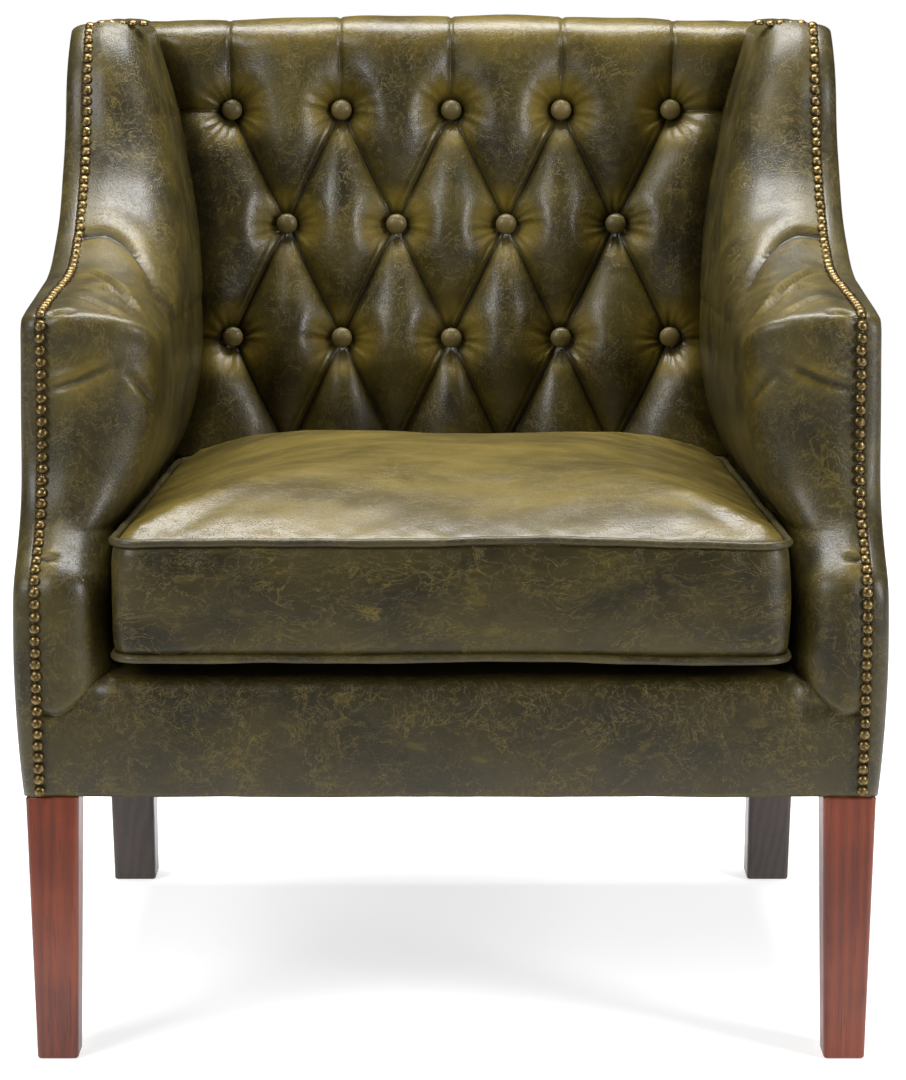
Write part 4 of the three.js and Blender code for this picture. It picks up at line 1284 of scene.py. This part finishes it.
@dataclass
class ButtonedBack:
    """The inside back: pillows of leather between pleats that run from button to button."""

    lines: ChairLines
    look: Finishes
    cell: float = 0.0015
    pillow: float = 0.0205  # how far the pillows stand out of the pleats
    pit: float = 0.0095  # how much deeper the leather goes at a button
    sunk: float = 0.0055  # how much deeper a button sits than its plain stand-in
    reach: float = 0.046  # from a pleat to the flat of a pillow
    crest: float = 0.026
    button_radius: float = 0.0100
    button_rise: float = 0.0062  # from its rim to the top of its dome

    def __post_init__(self) -> None:
        """Reads where the buttons are from the frame."""
        self.buttons: dict[str, Vector] = {}
        for row, count in (("lower", 5), ("middle", 4), ("upper", 5)):
            for i in range(1, count + 1):
                low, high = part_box(f"button_{row}_{i}")
                self.buttons[f"{row}_{i}"] = (low + high) / 2
        self.pitch = self.buttons["lower_2"].x - self.buttons["lower_1"].x
        self.rise = self.buttons["middle_1"].z - self.buttons["lower_1"].z

    def half_width(self, z: Array) -> Array:
        """Returns how far the back reaches each way, just into the arms and wings."""
        return self.lines.inside_line(0.62, z) + 0.012

    def pleats(self) -> list[tuple[Array, Array, float]]:
        """Lists the pleats.

        Returns:
            Two ends, right and up, and a strength for each.
        """
        spots = {k: np.array([v.x, v.z]) for k, v in self.buttons.items()}
        found = []
        down = np.array([self.pitch / 2, -self.rise])
        for i in range(1, 5):
            middle = spots[f"middle_{i}"]
            for row in ("lower", "upper"):
                for j in (i, i + 1):
                    found.append((spots[f"{row}_{j}"], middle, 1.0))
        for i in range(1, 6):
            lower, upper = spots[f"lower_{i}"], spots[f"upper_{i}"]
            found.append((upper, np.array([upper[0] * 1.015, self.lines.top + 0.02]), 0.62))
            for sign in (-1.0, 1.0):
                if not (i == 1 and sign < 0) and not (i == 5 and sign > 0):
                    found.append((lower, lower + down * np.array([sign, 1.0]), 1.0))
        for row in ("lower", "upper"):
            for i, sign in ((1, -1.0), (5, 1.0)):
                spot = spots[f"{row}_{i}"]
                lift = 0.004 if row == "upper" else 0.002
                found.append((spot, spot + np.array([sign * 0.10, lift]), 0.72))
        return found

    def relief(self, x: Array, z: Array) -> tuple[Array, Array]:
        """Works out how far the leather stands out.

        Args:
            x: Distances to the right.
            z: Heights.

        Returns:
            Distance ahead of the pits' floor at each place, and a mask along the pleats that the
            leather paints as shade.
        """
        places = np.stack([x, z], axis=-1)
        height = np.ones(x.shape)
        line = np.zeros(x.shape)
        self.stretch_and_crest_light = np.zeros(x.shape)
        self.painted_shade = np.zeros(x.shape)
        for a, b, strength in self.pleats():
            gap, along = path_distance(places, np.stack([a, b]))
            q = np.clip(gap / self.reach, 0.0, 1.0)
            rise = (1 - (1 - q) ** 2.0) ** 0.78
            height *= 1 - strength * (1 - rise)
            # Line along each pleat, and along a lapped fold beside the slanting ones: painted
            # shade.
            line = np.maximum(line, strength * np.exp(-((gap / 0.0017) ** 2)))
            pale = 0.16 * strength * np.exp(-((gap / 0.010) ** 2))
            self.stretch_and_crest_light = np.maximum(self.stretch_and_crest_light, pale)
            lean = (b - a) / np.linalg.norm(b - a)
            if lean[0] * lean[1] > 0.05:
                side = (places - a) @ np.array([-lean[1], lean[0]]) * np.sign(lean[1])
                lap = np.exp(-(((side - 0.0062) / 0.0013) ** 2)) * smooth(along / 0.2)
                line = np.maximum(line, 0.35 * lap * smooth((1 - along) / 0.2)
                                  * (gap < 0.010))
        out = self.pillow * height
        for k, spot in enumerate(self.buttons.values()):
            dx, dz = x - spot.x, z - spot.z
            gap = np.hypot(dx, dz)
            out = out - self.pit * np.exp(-((gap / 0.015) ** 2))
            out = out + self.wrinkles(dx, dz, gap, k)
            pale = 0.95 * np.exp(-(((gap - 0.023) / 0.013) ** 2))
            self.stretch_and_crest_light = np.maximum(self.stretch_and_crest_light, pale)
            # Dark ring round each button: painted shade in the pit.
            self.painted_shade = np.maximum(self.painted_shade, 0.8 * np.exp(-(((gap - 0.010) / 0.0060) ** 2)))
        # Lighter crest: pull-up stretch over the rail, and painted light where the crest faces up.
        crest = smooth((z - self.lines.top + 0.045) / 0.03)
        self.stretch_and_crest_light = np.maximum(self.stretch_and_crest_light, 0.6 * crest)
        return out, line

    def wrinkles(self, dx: Array, dz: Array, gap: Array, seed: int) -> Array:
        """Returns the fine folds that fan out from one button."""
        random = np.random.default_rng(100 + seed)
        angle = np.arctan2(dz, dx)
        fan = np.zeros(gap.shape)
        for count in (7, 9, 12, 15, 19):
            phase = random.uniform(0, 2 * math.pi)
            fan += random.uniform(0.4, 1.0) * np.cos(count * angle + phase + 30 * gap)
        fade = np.exp(-(((gap - 0.017) / 0.014) ** 2))
        return 0.00042 * fan * fade

    def surface(self) -> tuple[Array, Array]:
        """Builds the back's visible and hidden grids."""
        lines = self.lines
        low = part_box("inside_back_cover")[0].z
        z_face = np.arange(low, lines.top - self.crest - 0.6 * self.cell, self.cell)
        angle = np.linspace(0.0, math.pi / 2, 15)
        z_crest = lines.top - self.crest * (1 - np.sin(angle))
        over = self.crest * 1.15 * (1 - np.cos(angle))
        z_line = np.concatenate([z_face, z_crest])
        back = np.concatenate([np.zeros(len(z_face)), over])
        rear = lines.back_line(lines.top) - 0.0035
        front_top = lines.back_face(lines.top - self.crest)
        flat = np.linspace(front_top + over[-1], rear, 22)[1:]
        z_line = np.concatenate([z_line, np.full(len(flat), lines.top)])
        d_line = np.concatenate([lines.back_face(z_face), front_top + over, flat])
        count = round(2 * 0.29 / self.cell)
        s = np.linspace(-1.0, 1.0, count)[None, :]
        z = z_line[:, None] + 0.0 * s
        half = self.half_width(np.minimum(z_line, lines.top - 0.004))[:, None]
        x = half * s
        crown = 0.014 * smooth((z - lines.seat) / 0.110)
        on_crest = np.clip(np.concatenate([back, flat - front_top]) / 0.05, 0.0, 1.0)[:, None]
        out = crown * (1 - (x / half) ** 2) * (1 - on_crest)
        relief, self.fold_shade = self.relief(x, z)
        relief = relief - self.pillow
        edge = -0.016 * (1 - smooth((half - np.abs(x)) / 0.034))
        calm = smooth((self.lines.top - z - 0.004) / 0.045)
        out = out + (relief + edge) * mix(0.10, 1.0, calm) - 0.0024 * self.fold_shade
        base = placed(x, d_line[:, None], z)
        normal = grid_normals(base)
        if normal[30, 30, 1] > 0:
            normal = -normal
        front = base + normal * out[..., None]
        front += normal * (0.0008 * ripple(base, 0.09, 31))[..., None]
        behind = placed(x, np.maximum(lines.back_line(z) - 0.0040, d_line[:, None]), z - 0.0002)
        behind[-1] = front[-1]
        return front, behind

    def button(self, name: str) -> bpy.types.Object:
        """Makes one covered button at its place.

        Args:
            name: Row and number of the button.

        Returns:
            The button.
        """
        r = self.button_radius
        arc = [(r * math.sin(a), self.button_rise * math.cos(a))
               for a in np.linspace(0.0, math.pi / 2, 9)]
        profile = [(0.0, -0.0035), (0.55 * r, -0.0035), (0.93 * r, -0.0018), *arc[::-1][:-1],
                   (0.0, self.button_rise)]
        points, faces = lathe_points(profile, 28)
        random = np.random.default_rng(abs(hash_name(name)))
        tilt = Euler((math.radians(90) + random.normal(0, 0.05) + 0.12,
                      random.normal(0, 0.05), 0.0)).to_matrix()
        spot = self.buttons[name]
        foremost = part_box(f"button_{name}")[0].y
        centre = Vector((spot.x, foremost + self.button_rise + self.sunk, spot.z))
        made = mesh_object(f"covered_button_{name}", [centre + tilt @ Vector(p) for p in points],
                           faces)
        dress(made, self.look.button)
        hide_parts(f"button_{name}")
        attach(made, "chair")
        return made

    def build(self) -> None:
        """Makes the leather of the back and its buttons."""
        front, behind = self.surface()
        # Fold mark of the back: painted shade along the pleats and round the buttons.
        painted_shade = np.maximum(self.fold_shade, self.painted_shade)
        marks = {"fold": painted_shade, "pull": self.stretch_and_crest_light}
        piece = slab_object("buttoned_back", front, behind, marks)
        dress(piece, self.look.tufted)
        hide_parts("inside_back_cover", "back_foam")
        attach(piece, "chair")
        LOG.info("%s: %d faces", piece.name, len(piece.data.polygons))
        for name in self.buttons:
            self.button(name)
        LOG.info("covered buttons: %d", len(self.buttons))


def hash_name(name: str) -> int:
    """Returns the same whole number for a name on every run."""
    return sum((i + 1) * ord(c) for i, c in enumerate(name))


# ---- Seat cushion --------------------------------------------------------------------------


@dataclass
class SeatCushion:
    """The loose box cushion: crowned panels, boxing, piping and zip."""

    lines: ChairLines
    look: Finishes
    corner: float = 0.020
    taper: float = 0.017
    crown: float = 0.038
    sag: float = 0.004
    cord: float = 0.0036
    voxel: float = 0.0055
    travel: float = 0.024
    zip_gap: float = 0.0006  # between the flat tape and the slider
    zip_tape: float = 0.012  # half the tape's width

    def __post_init__(self) -> None:
        """Reads the seams' heights and the plan's size from the frame."""
        top_low, top_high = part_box("cushion_piping_top")
        low_low, low_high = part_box("cushion_piping_bottom")
        self.upper = (top_low.z + top_high.z) / 2
        self.lower = (low_low.z + low_high.z) / 2
        self.half = top_high.x - self.cord
        self.front = top_low.y + self.cord
        self.rear = top_high.y - self.cord

    def plan(self, inward: float, step: float = 0.006) -> Array:
        """Traces the cushion's outline from above.

        Args:
            inward: How far inside the seam line.
            step: Distance between points.

        Returns:
            (right, back) rows of a closed outline.
        """
        r = max(0.004, self.corner - inward)
        front, rear = self.front + inward, self.rear - inward
        near, far = self.half - inward, self.half - self.taper - inward
        corners = [(near - r, front + r, -90), (far - r, rear - r, 0),
                   (-far + r, rear - r, 90), (-near + r, front + r, 180)]
        points = []
        for x, y, start in corners:
            for a in np.radians(np.linspace(start, start + 90, 12)):
                points.append((x + r * math.cos(a), y + r * math.sin(a)))
        points.append(points[0])
        return resample(np.array(points), step)[:-1]

    def seam(self, height: float) -> Array:
        """Returns the seam's line at a height, a little uneven as a sewn one is."""
        plan = self.plan(0.0, 0.004)
        line = np.column_stack([plan, np.full(len(plan), height)])
        line[:, 2] += 0.0011 * ripple(line, 0.21, 41) + 0.0004 * ripple(line, 0.06, 43)
        mid = np.exp(-((line[:, 0] / 0.2) ** 2)) * (line[:, 1] < 0)
        line[:, 2] += 0.003 * mid * (1.0 if height > 0.4 else 0.3)
        return line

    def blank(self) -> bpy.types.Object:
        """Makes the cushion's closed form before it is blown up."""
        rows = []
        for k, inward in ((0, 0.16), (0.35, 0.09), (0.75, 0.03), (1, 0.0)):
            rows.append((inward, self.lower - 0.5 * self.sag * (1 - k)))
        for t in (0.2, 0.5, 0.8):
            rows.append((-0.0035 * math.sin(math.pi * t), mix(self.lower, self.upper, t)))
        for k, inward in ((1, 0.0), (0.62, 0.018), (0.30, 0.05), (0.08, 0.10), (0, 0.16)):
            rows.append((inward, self.upper + self.crown * (1 - k)))
        count = len(self.plan(0.0))
        points = []
        for inward, z in rows:
            plan = self.plan(inward, 0.002)
            at = np.linspace(0, len(plan), count, endpoint=False)
            index = np.arange(len(plan) + 1)
            closed = np.vstack([plan, plan[:1]])
            points += [(np.interp(a, index, closed[:, 0]), np.interp(a, index, closed[:, 1]), z)
                       for a in at]
        faces = quads(len(rows), count, wrap=True)
        faces += [list(range(count))[::-1], [(len(rows) - 1) * count + c for c in range(count)]]
        return mesh_object("seat_cushion_leather", points, faces)

    def inflate(self, piece: bpy.types.Object, seams: list[Array]) -> None:
        """Remeshes the blank evenly and blows it up as cloth held at its seams.

        Args:
            piece: The blank.
            seams: The two seam lines.
        """
        remesh = piece.modifiers.new("even", "REMESH")
        remesh.mode = "VOXEL"
        remesh.voxel_size = self.voxel
        apply_modifiers(piece)
        start = vertex_array(piece)
        nearest = np.min([loop_distance(start, seam) for seam in seams], axis=0)
        held = piece.vertex_groups.new(name="seams")
        for i in np.flatnonzero(nearest < 0.006):
            held.add([int(i)], 1.0, "REPLACE")
        cloth = piece.modifiers.new("fill", "CLOTH")
        cloth.settings.vertex_group_mass = "seams"
        cloth.settings.use_pressure = True
        cloth.settings.uniform_pressure_force = 4.0
        cloth.settings.tension_stiffness = 22
        cloth.settings.compression_stiffness = 14
        cloth.settings.bending_stiffness = 1.2
        cloth.settings.quality = 4
        cloth.settings.effector_weights.gravity = 0.0
        cloth.collision_settings.use_collision = False
        scene = bpy.context.scene
        for number in range(1, 21):
            scene.frame_set(number)
        apply_modifiers(piece)
        scene.frame_set(1)
        piece.vertex_groups.clear()
        moved = vertex_array(piece) - start
        length = np.linalg.norm(moved, axis=1, keepdims=True)
        capped = moved * np.minimum(1.0, self.travel / np.maximum(length, 1e-9))
        set_vertices(piece, start + capped)

    def shape(self, piece: bpy.types.Object, seams: list[Array]) -> None:
        """Evens the blown form, then adds puckers along the seams and soft hollows.

        Args:
            piece: The blown cushion.
            seams: The two seam lines.
        """
        relax(piece, rounds=14)
        points = vertex_array(piece)
        normals = normal_array(piece)
        gap = np.min([loop_distance(points, seam) for seam in seams], axis=0)
        pucker = 0.0007 * ripple(points * np.array([1.0, 1.0, 0.2]), 0.022, 51)
        pucker = pucker * np.exp(-(((gap - 0.013) / 0.010) ** 2))
        groove = -0.0020 * np.exp(-((gap / 0.005) ** 2))
        soft = 0.0016 * ripple(points, 0.17, 53) + 0.0005 * ripple(points, 0.05, 55)
        soft = soft * smooth(gap / 0.04)
        points = points + normals * (pucker + groove + soft)[:, None]
        slider_low, slider_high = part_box("cushion_zip_slider")
        beside = np.abs(points[:, 2] - (slider_low.z + slider_high.z) / 2)
        track = slider_low.y - self.zip_gap + np.maximum(beside - self.zip_tape, 0.0)
        points[:, 1] = np.minimum(points[:, 1], track)
        set_vertices(piece, points)

    def build(self) -> None:
        """Makes the cushion with its piping and zip."""
        seams = [self.seam(self.upper), self.seam(self.lower)]
        piece = self.blank()
        self.inflate(piece, seams)
        self.shape(piece, seams)
        finer = piece.modifiers.new("finer", "SUBSURF")
        finer.levels = 1
        apply_modifiers(piece)
        piece.data.polygons.foreach_set("use_smooth", [True] * len(piece.data.polygons))
        # Faces that look up take the pale pulled colour through the pull mark: painted light on the
        # top panel.
        painted_top_light = smooth((normal_array(piece)[:, 2] - 0.35) / 0.6)
        layer = piece.data.attributes.new("pull", "FLOAT", "POINT")
        layer.data.foreach_set("value", (0.75 * painted_top_light).astype(np.float32))
        dress(piece, self.look.seat)
        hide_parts("cushion_top_panel", "cushion_bottom_panel", "cushion_boxing",
                    "cushion_foam")
        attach(piece, "seat_cushion")
        LOG.info("%s: %d faces", piece.name, len(piece.data.polygons))
        for label, seam in (("top", seams[0]), ("bottom", seams[1])):
            self.piping(label, seam)
        self.zip()

    def piping(self, label: str, seam: Array) -> None:
        """Makes one length of piping round a seam.

        Args:
            label: top or bottom.
            seam: The seam's line.
        """
        wobble = ripple(seam, 0.05, 61)
        tube = tube_object(f"piping_{label}", seam, lambda i: self.cord + 0.00025 * wobble[i])
        dress(tube, self.look.piping)
        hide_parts(f"cushion_piping_{label}")
        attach(tube, "seat_cushion")

    def zip(self) -> None:
        """Makes the zip's slider with its pull."""
        low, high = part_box("cushion_zip_slider")
        centre = (low + high) / 2
        size = high - low
        points, faces = [], []
        blocks = [(Vector((0, 0, 0)), Vector((size.x, size.y * 0.8, size.z * 0.55))),
                  (Vector((0, size.y * 0.2, -size.z * 0.3)),
                   Vector((size.x * 0.5, size.y * 0.35, size.z * 0.5)))]
        for middle, extent in blocks:
            form = bmesh.new()
            bmesh.ops.create_cube(form, size=1.0)
            bmesh.ops.scale(form, vec=extent, verts=form.verts)
            bmesh.ops.bevel(form, geom=form.edges[:], offset=0.0006, segments=3,
                            affect="EDGES")
            start = len(points)
            points += [centre + middle + v.co for v in form.verts]
            faces += [[start + v.index for v in f.verts] for f in form.faces]
            form.free()
        slider = mesh_object("zip_slider_body", points, faces)
        dress(slider, self.look.brass)
        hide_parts("cushion_zip_slider")
        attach(slider, "zip_slider")


def apply_modifiers(piece: bpy.types.Object) -> None:
    """Replaces a piece's mesh by what its modifiers make of it."""
    graph = bpy.context.evaluated_depsgraph_get()
    made = bpy.data.meshes.new_from_object(piece.evaluated_get(graph))
    piece.modifiers.clear()
    piece.data = made


def vertex_array(piece: bpy.types.Object) -> Array:
    """Returns a piece's vertices as rows."""
    points = np.empty(len(piece.data.vertices) * 3)
    piece.data.vertices.foreach_get("co", points)
    return points.reshape(-1, 3)


def set_vertices(piece: bpy.types.Object, points: Array) -> None:
    """Moves a piece's vertices to new places."""
    piece.data.vertices.foreach_set("co", points.reshape(-1))
    piece.data.update()


def normal_array(piece: bpy.types.Object) -> Array:
    """Returns a piece's vertex normals as rows."""
    normals = np.empty(len(piece.data.vertices) * 3)
    piece.data.vertex_normals.foreach_get("vector", normals)
    return normals.reshape(-1, 3)


def relax(piece: bpy.types.Object, rounds: int) -> None:
    """Evens out a piece's surface by moving each vertex towards its neighbours."""
    points = vertex_array(piece)
    pairs = np.empty(len(piece.data.edges) * 2, dtype=np.int64)
    piece.data.edges.foreach_get("vertices", pairs)
    a, b = pairs.reshape(-1, 2).T
    count = np.bincount(a, minlength=len(points)) + np.bincount(b, minlength=len(points))
    for number in range(rounds):
        total = np.stack([np.bincount(a, points[b, k], len(points))
                          + np.bincount(b, points[a, k], len(points)) for k in range(3)], axis=1)
        share = 0.5 if number % 2 == 0 else -0.52
        points = points + share * (total / count[:, None] - points)
    set_vertices(piece, points)


def loop_distance(points: Array, loop: Array) -> Array:
    """Returns each point's distance from a closed line of closely spaced points."""
    best = np.full(len(points), np.inf)
    for spot in loop:
        best = np.minimum(best, ((points - spot) ** 2).sum(axis=1))
    return np.sqrt(best)


# ---- Front border --------------------------------------------------------------------------


@dataclass
class FrontBorder:
    """The band of leather over the front rail, carried back over the seat's front edge."""

    lines: ChairLines
    look: Finishes
    step: float = 0.004

    def profile(self) -> Array:
        """Returns the border's section as (depth, height) rows, foot first."""
        low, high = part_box("front_border")
        lip = high.z - 0.014
        return np.concatenate([
            bezier([(0.0035, low.z), (-0.0065, low.z + 0.040), (-0.0045, lip - 0.018)], 22),
            bezier([(-0.0045, lip - 0.018), (-0.0035, lip), (0.014, lip + 0.001)], 14)[1:],
            bezier([(0.014, lip + 0.001), (0.040, lip + 0.002), (0.090, high.z)], 16)[1:]])

    def build(self) -> None:
        """Makes the border from nail line to nail line; its top runs on under the arms."""
        half = float(self.lines.nail_line(np.array(0.0))) - 0.0004
        section = self.profile()
        columns = np.linspace(-half, half, round(2 * half / self.step))
        x = columns[None, :] + 0.0 * section[:, :1]
        front = placed(x, section[:, :1], section[:, 1:])
        normal = grid_normals(front)
        if normal[5, 5, 1] > 0:
            normal = -normal
        soft = 0.0009 * ripple(front, 0.15, 71) + 0.0004 * ripple(front, 0.04, 73)
        under = 0.0030 * smooth((np.abs(x) - 0.286) / 0.01) * smooth((front[..., 2] - 0.298) / 0.01)
        front = front + normal * (soft - under)[..., None]
        back = placed(x, np.maximum(section[:, :1] * 0 + 0.0075, section[:, :1]),
                      np.maximum(section[:, 1:] - 0.004, section[0, 1]))
        piece = slab_object("border_leather", front, back)
        dress(piece, self.look.border)
        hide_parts("front_border")
        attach(piece, "chair")
        LOG.info("%s", piece.name)


# ---- Nails ---------------------------------------------------------------------------------


@dataclass
class NailRows:
    """Domed nails along the front and top edge of each side."""

    lines: ChairLines
    look: Finishes
    pitch: float = 0.0101
    radius: float = 0.00475
    rise: float = 0.0034

    def places(self) -> list[tuple[Vector, Vector]]:
        """Lists each right-hand nail's place and the direction that it faces."""
        lines = self.lines
        edge = lines.side_edge(0.001)
        tangent = np.gradient(edge, axis=0)
        found = []
        gaps = np.linalg.norm(np.diff(edge, axis=0), axis=1)
        run = np.concatenate([[0.0], np.cumsum(gaps)])
        at = 0.006
        while at < run[-1] - 0.004:
            d, z = (float(np.interp(at, run, edge[:, k])) for k in (0, 1))
            td, tz = (float(np.interp(at, run, tangent[:, k])) for k in (0, 1))
            x = float(lines.nail_line(np.array(d)))
            size = math.hypot(td, tz)
            out = Vector((0.05, -tz / size, td / size)).normalized()
            found.append((Vector((x - 0.0022, d + FRONT, z)) + out * 0.0013, out))
            at += self.pitch
        last = found[-1][0]
        for i in range(1, 6):
            spot = Vector((last.x - self.pitch * i * 0.97, last.y + 0.004 + 0.0006 * i,
                           lines.top + 0.0004))
            found.append((spot, Vector((0.0, -0.25, 1.0)).normalized()))
        return found

    def build(self) -> None:
        """Makes the nails of both sides."""
        arc = [(self.radius * math.sin(a), self.rise * math.cos(a))
               for a in np.linspace(0.0, math.pi / 2, 7)]
        profile = [(0.0, -0.0010), (0.9 * self.radius, -0.0010), *arc[::-1][:-1],
                   (0.0, self.rise)]
        shape, sheets = lathe_points(profile, 16)
        for side, sign in SIDES:
            random = np.random.default_rng(7 if sign > 0 else 8)
            points, faces = [], []
            for spot, out in self.places():
                lean = Vector(random.normal(0, 0.06, 3))
                facing = (out + lean).normalized().to_track_quat("Z", "Y").to_matrix()
                size = 1.0 + random.normal(0, 0.02)
                shift = Vector(random.normal(0, 0.00022, 3))
                start = len(points)
                for p in shape:
                    q = spot + shift + facing @ (Vector(p) * size)
                    points.append((q.x * sign, q.y, q.z))
                faces += [[start + i for i in f] for f in sheets]
            piece = mesh_object(f"nails_{side}", points, faces)
            dress(piece, self.look.brass)
            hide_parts(f"nail_run_{side}")
            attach(piece, "chair")
            LOG.info("%s: %d nails", piece.name, len(points) // len(shape))


# ---- Legs, platform and hidden frame -------------------------------------------------------


@dataclass
class Legs:
    """Four square tapered legs with eased edges."""

    look: Finishes
    easing: float = 0.0022

    def build(self) -> None:
        """Eases the edges of each leg and stains it."""
        for place in ("front_leg", "rear_leg"):
            for side, _ in SIDES:
                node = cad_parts[f"{place}_{side}"]
                form = bmesh.new()
                form.from_mesh(node.data)
                bmesh.ops.remove_doubles(form, verts=form.verts, dist=1e-5)
                bmesh.ops.dissolve_limit(form, angle_limit=math.radians(2),
                                         verts=form.verts, edges=form.edges)
                bmesh.ops.bevel(form, geom=form.edges[:], offset=self.easing, segments=4,
                                profile=0.5, affect="EDGES")
                mesh = bpy.data.meshes.new(f"{place}_{side}_timber")
                form.to_mesh(mesh)
                form.free()
                piece = bpy.data.objects.new(f"{place}_{side}_timber", mesh)
                bpy.context.scene.collection.objects.link(piece)
                front = place == "front_leg"
                dress(piece, self.look.mahogany if front else self.look.dark_wood)
                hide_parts(f"{place}_{side}")
                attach(piece, "chair")
        LOG.info("legs: 4")


@dataclass
class HiddenParts:
    """Frame, webbing, deck pad and dust cover, which keep the frame's own shapes."""

    look: Finishes
    kinds: dict[str, str] = field(default_factory=lambda: {
        "rail": "beech", "post": "beech", "board": "beech", "webbing": "webbing",
        "deck": "foam", "dust": "dust_cloth"})

    def build(self) -> None:
        """Dresses each node that no other piece stands for."""
        done = 0
        for name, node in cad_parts.items():
            kind = next((v for k, v in self.kinds.items() if k in name), None)
            if kind and not node.hide_render:
                dress(node, getattr(self.look, kind))
                done += 1
        LOG.info("hidden parts dressed: %d", done)


@dataclass
class SeatPlatform:
    """The padded platform under the loose cushion, covered in plain cloth."""

    look: Finishes
    voxel: float = 0.0075

    def build(self) -> None:
        """Softens the pad's edges, swells it a little and covers it."""
        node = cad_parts["seat_deck_pad"]
        piece = bpy.data.objects.new("seat_platform_cloth", node.data.copy())
        piece.matrix_world = node.matrix_world.copy()
        bpy.context.scene.collection.objects.link(piece)
        remesh = piece.modifiers.new("even", "REMESH")
        remesh.mode = "VOXEL"
        remesh.voxel_size = self.voxel
        bpy.context.view_layer.update()
        apply_modifiers(piece)
        relax(piece, rounds=8)
        points = vertex_array(piece)
        upward = np.clip(normal_array(piece)[:, 2], 0.0, 1.0)
        soft = 0.0012 * ripple(points, 0.13, 81) + 0.0005 * ripple(points, 0.035, 83)
        points[:, 2] += upward * np.minimum(soft, 0.0010)
        set_vertices(piece, points)
        finer = piece.modifiers.new("finer", "SUBSURF")
        finer.levels = 1
        apply_modifiers(piece)
        piece.data.polygons.foreach_set("use_smooth", [True] * len(piece.data.polygons))
        dress(piece, self.look.platform)
        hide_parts("seat_deck_pad")
        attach(piece, "chair")
        LOG.info("%s: %d faces", piece.name, len(piece.data.polygons))


# ---- Studio --------------------------------------------------------------------------------


@dataclass
class Studio:
    """Pale floor, soft lights and the camera."""

    lens: float = 114.8
    pitch: float = 9.26
    height: float = 0.910
    distance: float = 2.823  # ahead of the border's foot
    sideways: float = 0.0017

    def floor(self) -> None:
        """Makes the floor."""
        far, level = 400.0, -0.0005
        corners = [(-far, -far, level), (far, -far, level), (far, far, level),
                   (-far, far, level)]
        piece = mesh_object("studio_floor", corners, [[0, 1, 2, 3]])
        material, s, skin, place = start_material("pale_floor")
        haze = s.node("ShaderNodeTexNoise", {"Vector": place, "Scale": 3.0})
        shade = s.blend(haze.outputs[0], (0.80, 0.80, 0.80, 1.0), (0.84, 0.84, 0.84, 1.0))
        parts = s.node("ShaderNodeSeparateXYZ", {0: place})
        # The floor glows, less far ahead of the chair and more behind it, and its colour is darker
        # ahead: painted light that keeps the floor pale.
        ahead = s.ramp(parts.outputs[1], -1.0, -0.42, 1.0, 0.0)
        shade = s.blend(ahead, shade, (0.14, 0.14, 0.14, 1.0))
        s.tree.links.new(shade, skin.inputs["Base Color"])
        skin.inputs["Roughness"].default_value = 0.9
        near = s.ramp(parts.outputs[1], -0.60, -0.34, 0.42, 0.66)
        glow = s.math("ADD", near, s.ramp(parts.outputs[1], 0.3, 1.6, 0.0, 0.28))
        skin.inputs["Emission Color"].default_value = (1.0, 1.0, 1.0, 1.0)
        s.tree.links.new(glow, skin.inputs["Emission Strength"])
        piece.data.materials.append(material)

    def light(self, name: str, place: Rgb, aim: Rgb, size: tuple[float, float],
              power: float) -> None:
        """Hangs one soft box.

        Args:
            name: The light's name.
            place: Where it hangs.
            aim: What it points at.
            size: Its width and height.
            power: Watts.
        """
        lamp = bpy.data.lights.new(name, "AREA")
        lamp.shape = "RECTANGLE"
        lamp.size, lamp.size_y = size
        lamp.energy = power
        hung = bpy.data.objects.new(name, lamp)
        hung.location = place
        facing = Vector(aim) - Vector(place)
        hung.rotation_euler = facing.to_track_quat("-Z", "Y").to_euler()
        bpy.context.scene.collection.objects.link(hung)

    def build(self) -> None:
        """Sets up floor, world, lights and camera."""
        self.floor()
        world = bpy.data.worlds.new("studio")
        world.use_nodes = True
        backdrop = world.node_tree.nodes["Background"]
        backdrop.inputs["Color"].default_value = (1.0, 1.0, 1.0, 1.0)
        backdrop.inputs["Strength"].default_value = 0.09
        bpy.context.scene.world = world
        bpy.context.scene.view_settings.view_transform = "Standard"
        self.light("left_box", (-1.75, -1.9, 1.75), (0, 0.1, 0.55), (1.0, 1.3), 46)
        self.light("right_box", (2.0, -1.6, 1.15), (0, 0.1, 0.6), (0.6, 1.3), 44)
        self.light("top_box", (0.0, 0.15, 2.4), (0, 0.1, 0.5), (1.7, 0.8), 92)
        camera = bpy.data.cameras.new("camera")
        camera.lens = self.lens
        camera.sensor_width = 36.0
        holder = bpy.data.objects.new("camera", camera)
        holder.location = (self.sideways, FRONT - self.distance, self.height)
        holder.rotation_euler = (math.radians(90 - self.pitch), 0.0, 0.0)
        bpy.context.scene.collection.objects.link(holder)
        bpy.context.scene.camera = holder


def main() -> None:
    """Builds every sub-assembly in order."""
    logging.basicConfig(level=logging.INFO, format="%(name)s: %(message)s")
    lines = ChairLines()
    look = Finishes()
    SidePadding(lines, look).build()
    OutsidePanels(lines, look).build()
    ButtonedBack(lines, look).build()
    SeatCushion(lines, look).build()
    FrontBorder(lines, look).build()
    NailRows(lines, look).build()
    Legs(look).build()
    SeatPlatform(look).build()
    HiddenParts(look).build()
    Studio().build()


if __name__ == "__main__":
    main()
